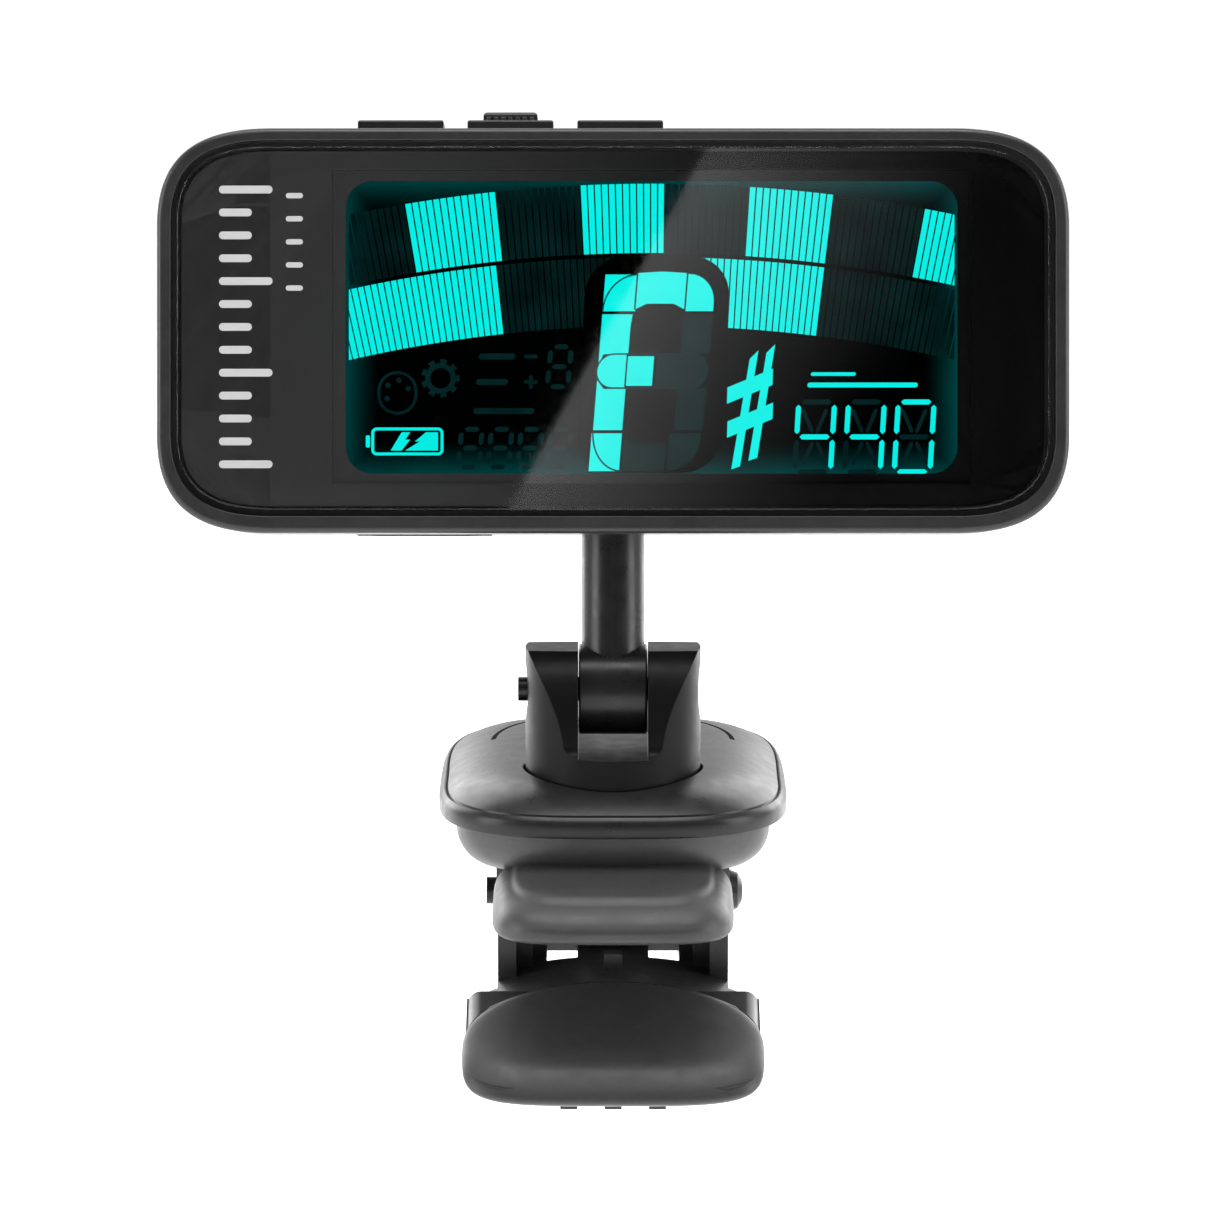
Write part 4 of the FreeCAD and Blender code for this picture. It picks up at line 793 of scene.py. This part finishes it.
def note_letter():
    """A slanted seven-part note letter on a black halo; returns lit and faint parts."""
    x0, x1, z0, z1 = NOTE["x0"], NOTE["x1"], NOTE["z0"], NOTE["z1"]
    gap = 0.13
    waist_low = -4.95
    waist_high = -2.25
    top = z1 - 3.15
    low = z0 + 3.25
    inner_left = x0 + 2.4
    inner_right = x1 - 2.45
    cut_left = x0 + 2.7
    cut_right = x1 - 2.4

    def corner(cx, cz, start, radius, steps=8):
        angles = [math.radians(start + 90 * n / steps) for n in range(steps + 1)]
        return [(cx + radius[0] * math.cos(t), cz + radius[1] * math.sin(t)) for t in angles]

    top_left = [(x0, top + gap), (x0, z1), (cut_left - gap, z1), (cut_left - gap, z1 - 2.85),
                (inner_left + 0.35, top + gap)]
    top_mid = [(cut_left, z1 + 0.12), ((cut_left + cut_right) / 2, z1 + 0.25), (cut_right, z1 + 0.12),
               (cut_right, z1 - 2.85), (cut_right - 0.9, z1 - 2.4), (cut_left + 0.9, z1 - 2.4),
               (cut_left, z1 - 2.85)]
    top_right = [(x1, top + gap)] + corner(x1 - 2.2, z1 - 2.3, 0, (2.2, 2.35))
    top_right += [(cut_right + gap, z1 + 0.05), (cut_right + gap, z1 - 2.85), (cut_right + gap, top + gap)]
    left_high = [(x0, top - gap), (inner_left + 0.1, top - gap), (inner_left, top - 1.2),
                 (inner_left, waist_high + gap), (x0 + 0.35, waist_high + gap - 0.1), (x0, waist_high - 0.9)]
    left_waist = soft_rect(x0 - 0.15, waist_low, inner_left, waist_high, 1.3)
    left_waist = [(min(a, inner_left - gap), b) for a, b in left_waist]
    left_waist = [p for p in left_waist if p[0] < inner_left - 1.2]
    left_waist = [(inner_left - gap, waist_low)] + sorted(
        left_waist, key=lambda p: p[1]) + [(inner_left - gap, waist_high)]
    middle = [(inner_left, waist_low + gap), (inner_left + 2.15, waist_low + gap),
              (inner_left + 2.15, waist_high - gap), (inner_left, waist_high - gap)]
    left_low = [(x0, waist_low + 0.6), (x0 + 0.6, waist_low - gap), (inner_left, waist_low - gap),
                (inner_left, low + gap), (x0, low + gap)]
    foot = [(x0 - 0.1, z0), (inner_left, z0), (inner_left, low - gap), (x0 - 0.1, low - gap)]
    lit = [top_left, top_mid, top_right, left_high, left_waist, middle, left_low, foot]
    right_high = [(inner_right + 0.05, top - gap), (x1, top - gap), (x1, waist_high + gap),
                  (inner_right + 0.05, waist_high + gap)]
    middle_right = [(inner_left + 2.4, waist_low + gap), (x1 - 0.5, waist_low + gap),
                    (x1 - 0.05, (waist_low + waist_high) / 2), (x1 - 0.5, waist_high - gap),
                    (inner_left + 2.4, waist_high - gap)]
    right_low = [(inner_right, low + gap), (x1 - 0.1, low + gap), (x1, waist_low - gap),
                 (inner_right, waist_low - gap)]
    right_foot = [(cut_right - 0.4, z0 + 0.05)] + corner(x1 - 2.4, z0 + 2.6, 270, (2.2, 2.5))
    right_foot += [(x1 - 0.15, low - gap), (cut_right - 0.4, low - gap)]
    middle_foot = [(inner_left + 0.15, z0), (cut_right - 0.6, z0), (cut_right - 0.6, z0 + 2.3),
                   (inner_left + 0.9, z0 + 2.2), (inner_left + 0.15, low - gap)]
    faint = [right_high, middle_right, right_low, right_foot, middle_foot]
    slant = NOTE["slant"]
    centre = (z0 + z1) / 2
    return ([shear(p, slant, centre) for p in lit], [shear(p, slant, centre) for p in faint])


def halo():
    """The black surround of the note letter."""
    grow = 1.4
    low = -VIEW_TALL / 2 + 0.05
    shape = soft_rect(NOTE["x0"] - grow, low, NOTE["x1"] + grow, NOTE["z1"] + grow + 0.1, 3.2)
    return clip_to_view(shear(shape, NOTE["slant"] * 0.6, -4), VIEW_WIDE / 2, VIEW_TALL / 2)


def sharp_sign():
    """The sharp sign beside the note."""
    strokes = []
    lean = 0.16
    half = 0.36
    for x, low, high in ((7.75, -11.7, -2.2), (9.05, -11.0, -1.7)):
        foot = x + lean * (low + 6.5)
        head = x + lean * (high + 6.5)
        strokes.append([(foot - half, low), (foot + half, low + 0.25),
                        (head + half, high + 0.3), (head - half, high - 0.4)])
    for z in (-5.3, -8.1):
        strokes.append([(6.2, z - 1.0), (6.25, z + 0.35), (10.0, z + 1.9), (9.95, z + 0.55)])
    return strokes


DIGITS = {"4": "fgbc", "0": "abcdef", "8": "abcdefg"}


def digit(character, x, z, wide, tall, stroke, slant=0.06):
    """The lit and faint segments of one seven-segment figure, its low left corner at x, z."""
    top, mid, low = z + tall, z + tall / 2, z
    gap = stroke * 0.55
    left, right = x, x + wide
    places = {
        "a": (left + gap, top, right - gap, top), "g": (left + gap, mid, right - gap, mid),
        "d": (left + gap, low, right - gap, low), "f": (left, mid + gap, left, top - gap),
        "b": (right, mid + gap, right, top - gap), "e": (left, low + gap, left, mid - gap),
        "c": (right, low + gap, right, mid - gap),
    }
    lit = []
    faint = []
    for name, ends in places.items():
        shape = shear(segment(*ends, stroke), slant, mid)
        (lit if name in DIGITS[character] else faint).append(shape)
    return lit, faint


def figures():
    """The reference pitch, 440, low on the right, with faint diagonal segments inside each figure."""
    lit = []
    faint = []
    for n, character in enumerate("440"):
        x = 11.95 + n * 4.1
        z = -11.9
        on, off = digit(character, x, z, 2.95, 5.75, 0.42)
        lit += on
        faint += off
        middle = x + 1.48
        for sx in (-1, 1):
            faint.append(segment(middle + sx * 1.0, z + 5.2, middle + sx * 0.15, z + 3.2, 0.32))
            faint.append(segment(middle + sx * 1.0, z + 0.5, middle + sx * 0.15, z + 2.5, 0.32))
    return lit, faint


def small_marks():
    """Faint unlit marks: four large figures, one smaller figure and plain bars where words would be."""
    faint = []
    for n in range(4):
        on, _ = digit("8", -15.8 + n * 2.45, -11.5, 1.7, 3.1, 0.42, 0.1)
        faint += on
    on, _ = digit("8", -8.45, -4.9, 1.7, 3.3, 0.42, 0.1)
    faint += on
    for z, wide in ((-2.4, 3.0), (-4.5, 2.6), (-6.9, 5.0)):
        faint.append(shear(soft_rect(-14.0, z - 0.25, -14.0 + wide, z + 0.25, 0.2, 3), 0.1))
    for z in (-2.4, -4.5):
        faint.append(soft_rect(-10.5, z - 0.16, -9.4, z + 0.16, 0.1, 2))
    faint.append(soft_rect(-10.11, -5.05, -9.79, -3.95, 0.1, 2))
    return faint


def gear(cx, cz, outer, inner, teeth):
    """A faint settings wheel: a ring of wedge blocks."""
    shapes = []
    steps = teeth * 2
    for n in range(steps):
        a0 = 2 * math.pi * (n - 0.5) / steps
        a1 = 2 * math.pi * (n + 0.5) / steps
        reach = outer if n % 2 == 0 else outer * 0.8
        shapes.append([
            (cx + inner * math.cos(a0), cz + inner * math.sin(a0)),
            (cx + reach * math.cos(a0), cz + reach * math.sin(a0)),
            (cx + reach * math.cos(a1), cz + reach * math.sin(a1)),
            (cx + inner * math.cos(a1), cz + inner * math.sin(a1)),
        ])
    return shapes


def ring_outline(x0, z0, x1, z1, corner, thick):
    """A rounded frame as one closed band."""
    outer = soft_rect(x0, z0, x1, z1, corner, 5)
    inner = soft_rect(x0 + thick, z0 + thick, x1 - thick, z1 - thick, max(corner - thick, 0.05), 5)
    return band(outer, inner)


def battery_mark():
    """A battery gauge: rounded frame, end button and slanted fill with a bolt-shaped gap."""
    shapes = ring_outline(-23.1, -10.55, -17.15, -8.25, 0.45, 0.24)
    shapes.append(soft_rect(-23.55, -9.9, -23.2, -8.9, 0.12, 3))
    shapes.append([(-21.5, -10.15), (-20.6, -10.15), (-19.9, -9.25), (-20.3, -9.25), (-19.9, -8.65),
                   (-20.6, -8.65)])
    shapes.append([(-20.3, -10.15), (-17.6, -10.15), (-17.6, -8.65), (-18.6, -8.65), (-19.5, -9.4),
                   (-19.1, -9.4)])
    return shapes


def palette_mark():
    """A faint colour wheel: a ring with dots inside it."""
    shapes = ring_outline(-22.6, -7.2, -19.3, -3.6, 1.6, 0.25)
    for n in range(4):
        turn = math.radians(20 + 62 * n)
        x = -20.95 + 0.95 * math.cos(turn)
        z = -5.4 + 1.05 * math.sin(turn)
        shapes.append(soft_rect(x - 0.22, z - 0.22, x + 0.22, z + 0.22, 0.2, 4))
    return shapes


def note_lines():
    """Fine dark lines that divide the lit letter: two arcs and the capsule at its waist."""
    x0, x1, z0, z1 = NOTE["x0"], NOTE["x1"], NOTE["z0"], NOTE["z1"]
    shapes = []

    def trace(points, wide=0.13):
        for a, b in zip(points, points[1:]):
            shapes.append(segment(*a, *b, wide, 0.0))

    arc = [math.radians(180 - 90 * n / 10) for n in range(11)]
    trace([(x0 + 2.7 + 2.7 * math.cos(t), z1 - 3.0 + 3.0 * math.sin(t)) for t in arc])
    arc = [math.radians(180 + 90 * n / 10) for n in range(11)]
    trace([(x0 + 2.6 + 2.6 * math.cos(t), z0 + 3.3 + 3.3 * math.sin(t)) for t in arc])
    capsule = soft_rect(x0 - 0.1, -5.0, x1 - 0.1, -2.2, 1.38, 8)
    trace(capsule + [capsule[0]])
    slant = NOTE["slant"]
    centre = (z0 + z1) / 2
    return [shear(p, slant, centre) for p in shapes]


def display_art():
    """Everything the display shows, in layers from its ground up."""
    half_wide = VIEW_WIDE / 2
    half_tall = VIEW_TALL / 2
    ground = soft_rect(-half_wide, -half_tall, half_wide, half_tall, VIEW_CORNER)
    ink("display_ground", [ground], backlit_ground(half_wide * MM, half_tall * MM), 0.0)
    lit_ink = glowing("lit_ink", 1.06)
    faint_ink = glowing("faint_ink", 0.017, FAINT_CYAN, 0.3)
    black_ink = glowing("black_ink", 0.0)
    lit, faint = strobe_bars()
    ink("strobe_lit", lit, lit_ink, 0.06)
    ink("strobe_faint", faint, glowing("strobe_ink", 0.012, FAINT_CYAN, 0.5), 0.06, 0.03)
    ink("note_halo", [halo()], black_ink, 0.14, 0.03)
    lit, faint = note_letter()
    ink("note_lit", lit, lit_ink, 0.2)
    ink("note_faint", faint, faint_ink, 0.2, 0.03)
    ink("note_lines", note_lines(), glowing("line_ink", 0.03, FAINT_CYAN), 0.26, 0.01)
    ink("sharp_sign", sharp_sign(), lit_ink, 0.2)
    lit, faint = figures()
    ink("pitch_figures", lit, lit_ink, 0.2)
    ink("pitch_faint", faint, faint_ink, 0.2, 0.03)
    ink("pitch_bar", [shear(soft_rect(13.3, -4.95, 22.4, -4.55, 0.2, 4), 0.1),
                      shear(soft_rect(13.5, -4.0, 17.2, -3.7, 0.15, 4), 0.1)], lit_ink, 0.2)
    ink("battery_mark", battery_mark(), lit_ink, 0.2)
    ink("mode_marks", small_marks() + gear(-17.4, -4.2, 1.6, 0.85, 9) + palette_mark(), faint_ink, 0.2, 0.03)


def display_mask():
    """The inner edge of the black print, which frames the lit display."""
    half_wide = VIEW_WIDE / 2
    half_tall = VIEW_TALL / 2
    inner = soft_rect(-half_wide, -half_tall, half_wide, half_tall, VIEW_CORNER)
    outer = soft_rect(-half_wide - 2.2, -half_tall - 1.6, half_wide + 2.2, half_tall + 1.6, 0.2)
    # The mask's print carries a painted reflection, greyer and faintly glowing towards the left.
    ink("display_mask", band(outer, inner), black_print_painted_reflection(), 0.28, 0.03)


def printed_scale():
    """A plain level scale printed inside the window, left of the display, brightened by a painted glow."""
    print_ink_and_glow = Nodes("printed_grey_painted_glow")
    body = print_ink_and_glow.add("ShaderNodeBsdfPrincipled", Roughness=0.5)
    worn = print_ink_and_glow.spread(print_ink_and_glow.noise(500.0, 3.0), 0.3, 0.7, 0.0, 1.0)
    print_ink_and_glow.join(print_ink_and_glow.mix(worn, grey(0.62), grey(0.72)), body.inputs["Base Color"])
    # Painted light: the grey print is made to glow so it reads bright, though it is no lamp.
    body.inputs["Emission Color"].default_value = (1, 1, 1, 1)
    body.inputs["Emission Strength"].default_value = 0.45
    print_ink_and_glow.join(body.outputs[0], print_ink_and_glow.out.inputs["Surface"])
    shapes = []
    count = 13
    for n in range(count):
        z = -11.3 + 22.6 * n / (count - 1)
        reach = 4.4 if n % 4 == 0 else 2.7
        shapes.append(soft_rect(-35.6, z - 0.32, -35.6 + reach, z + 0.32, 0.3, 4))
    for n in range(5):
        z = 3.2 + 1.9 * n
        shapes.append(soft_rect(-30.1, z - 0.22, -28.7, z + 0.22, 0.2, 4))
    ink("printed_scale", shapes, print_ink_and_glow.mat, 0.0, 0.02, out=WINDOW_BACK + 0.03 * MM)


# ---------------------------------------------------------------- stage


def stage_plane(name, size, matrix, material):
    """A square of the stage, which isn't part of the object."""
    half = size / 2
    corners = [(-half, -half, 0), (half, -half, 0), (half, half, 0), (-half, half, 0)]
    plane = new_object(name, corners, [(0, 1, 2, 3)], material)
    plane.matrix_world = matrix
    return plane


FLOOR_BELOW = 0.07


def floor():
    """A wide pale floor a little below the clip, evenly lit."""
    n = Nodes("pale_floor")
    body = n.add("ShaderNodeBsdfPrincipled", Roughness=0.8)
    tone = n.spread(n.noise(3.0, 2.0), 0.3, 0.7, 0.0, 1.0)
    n.join(n.mix(tone, grey(0.86), grey(0.88)), body.inputs["Base Color"])
    body.inputs["Emission Color"].default_value = (1, 1, 1, 1)
    body.inputs["Emission Strength"].default_value = 0.55
    n.join(body.outputs[0], n.out.inputs["Surface"])
    low = CAD_BOX[0][2] - FLOOR_BELOW
    stage_plane("floor", 60.0, Matrix.Translation((0, 0, low)), n.mat)


TARGET = PIN + UP * 6.81 * MM - RIGHT * 0.5 * MM
CAMERA_FAR = 0.5
CAMERA_LENS = 178.1


def camera():
    """The camera looks straight at the display along the head's own axis."""
    data = bpy.data.cameras.new("camera")
    data.sensor_width = 36.0
    data.lens = CAMERA_LENS
    data.clip_start = 0.01
    data.clip_end = 200
    eye = bpy.data.objects.new("camera", data)
    bpy.context.scene.collection.objects.link(eye)
    eye.matrix_world = Matrix.Translation(TARGET + OUT * CAMERA_FAR) @ HEAD_TURN
    bpy.context.scene.camera = eye


def reflection_card():
    """A dark card behind the camera with one lit slanted field, mirrored in the window."""
    n = Nodes("card")
    where = n.add("ShaderNodeTexCoord")
    split = n.add("ShaderNodeSeparateXYZ")
    n.join(where.outputs["Object"], split.inputs[0])
    slope = 0.547
    start = -27.4 * MM
    across = n.maths("SUBTRACT", split.outputs["X"], n.maths("MULTIPLY", split.outputs["Y"], slope))
    lit = n.spread(across, start - 0.4 * MM, start + 0.4 * MM, 0.0, 1.0)
    fade = n.spread(across, start, start + 60 * MM, 1.0, 0.0)
    glow = n.maths("MULTIPLY", lit, n.maths("POWER", fade, 2.0))
    light = n.add("ShaderNodeEmission")
    n.join(n.maths("MULTIPLY", glow, 1.6), light.inputs["Strength"])
    n.join(light.outputs[0], n.out.inputs["Surface"])
    place = Matrix.Translation(TARGET + OUT * (CAMERA_FAR + 0.1)) @ HEAD_TURN
    card = stage_plane("reflection_card", 0.34, place, n.mat)
    card.visible_diffuse = False
    card.visible_shadow = False


def area_light(name, place, aim, size, watts):
    """A soft rectangular lamp turned towards a point."""
    data = bpy.data.lights.new(name, "AREA")
    data.shape = "RECTANGLE"
    data.size, data.size_y = size
    data.energy = watts
    lamp = bpy.data.objects.new(name, data)
    bpy.context.scene.collection.objects.link(lamp)
    lamp.location = place
    lamp.rotation_euler = (Vector(aim) - Vector(place)).to_track_quat("-Z", "Y").to_euler()


def lights():
    """A studio world that darkens towards the camera, and soft lamps above, beside and behind."""
    world = bpy.data.worlds.new("studio")
    bpy.context.scene.world = world
    world.use_nodes = True
    tree = world.node_tree
    tree.nodes.clear()
    out = tree.nodes.new("ShaderNodeOutputWorld")
    sky = tree.nodes.new("ShaderNodeBackground")
    where = tree.nodes.new("ShaderNodeTexCoord")
    split = tree.nodes.new("ShaderNodeSeparateXYZ")
    ramp = tree.nodes.new("ShaderNodeMapRange")
    ramp.inputs["From Min"].default_value = -0.75
    ramp.inputs["From Max"].default_value = 0.3
    ramp.inputs["To Min"].default_value = 0.12
    ramp.inputs["To Max"].default_value = 1.0
    tree.links.new(where.outputs["Generated"], split.inputs[0])
    tree.links.new(split.outputs["Y"], ramp.inputs[0])
    tree.links.new(ramp.outputs[0], sky.inputs["Strength"])
    tree.links.new(sky.outputs[0], out.inputs["Surface"])
    centre = (0, -0.01, 0.02)
    area_light("top_soft", (0, -0.1, 0.7), centre, (0.5, 0.4), 3.0)
    area_light("left_soft", (-0.6, -0.25, 0.2), centre, (0.3, 0.5), 2.2)
    area_light("right_soft", (0.6, -0.2, 0.2), centre, (0.3, 0.5), 2.2)
    for side in (-1, 1):
        area_light(f"far_soft_{side}", (side * 0.32, 0.5, 0.30), centre, (0.5, 0.5), 2.4)
        area_light(f"rim_soft_{side}", (side * 0.42, 0.5, 0.05), centre, (0.3, 0.5), 1.3)
    bpy.context.scene.view_settings.view_transform = "Standard"
    bpy.context.scene.view_settings.look = "None"


dress_frame()
clip_skins()
display_art()
display_mask()
printed_scale()
floor()
camera()
reflection_card()
lights()
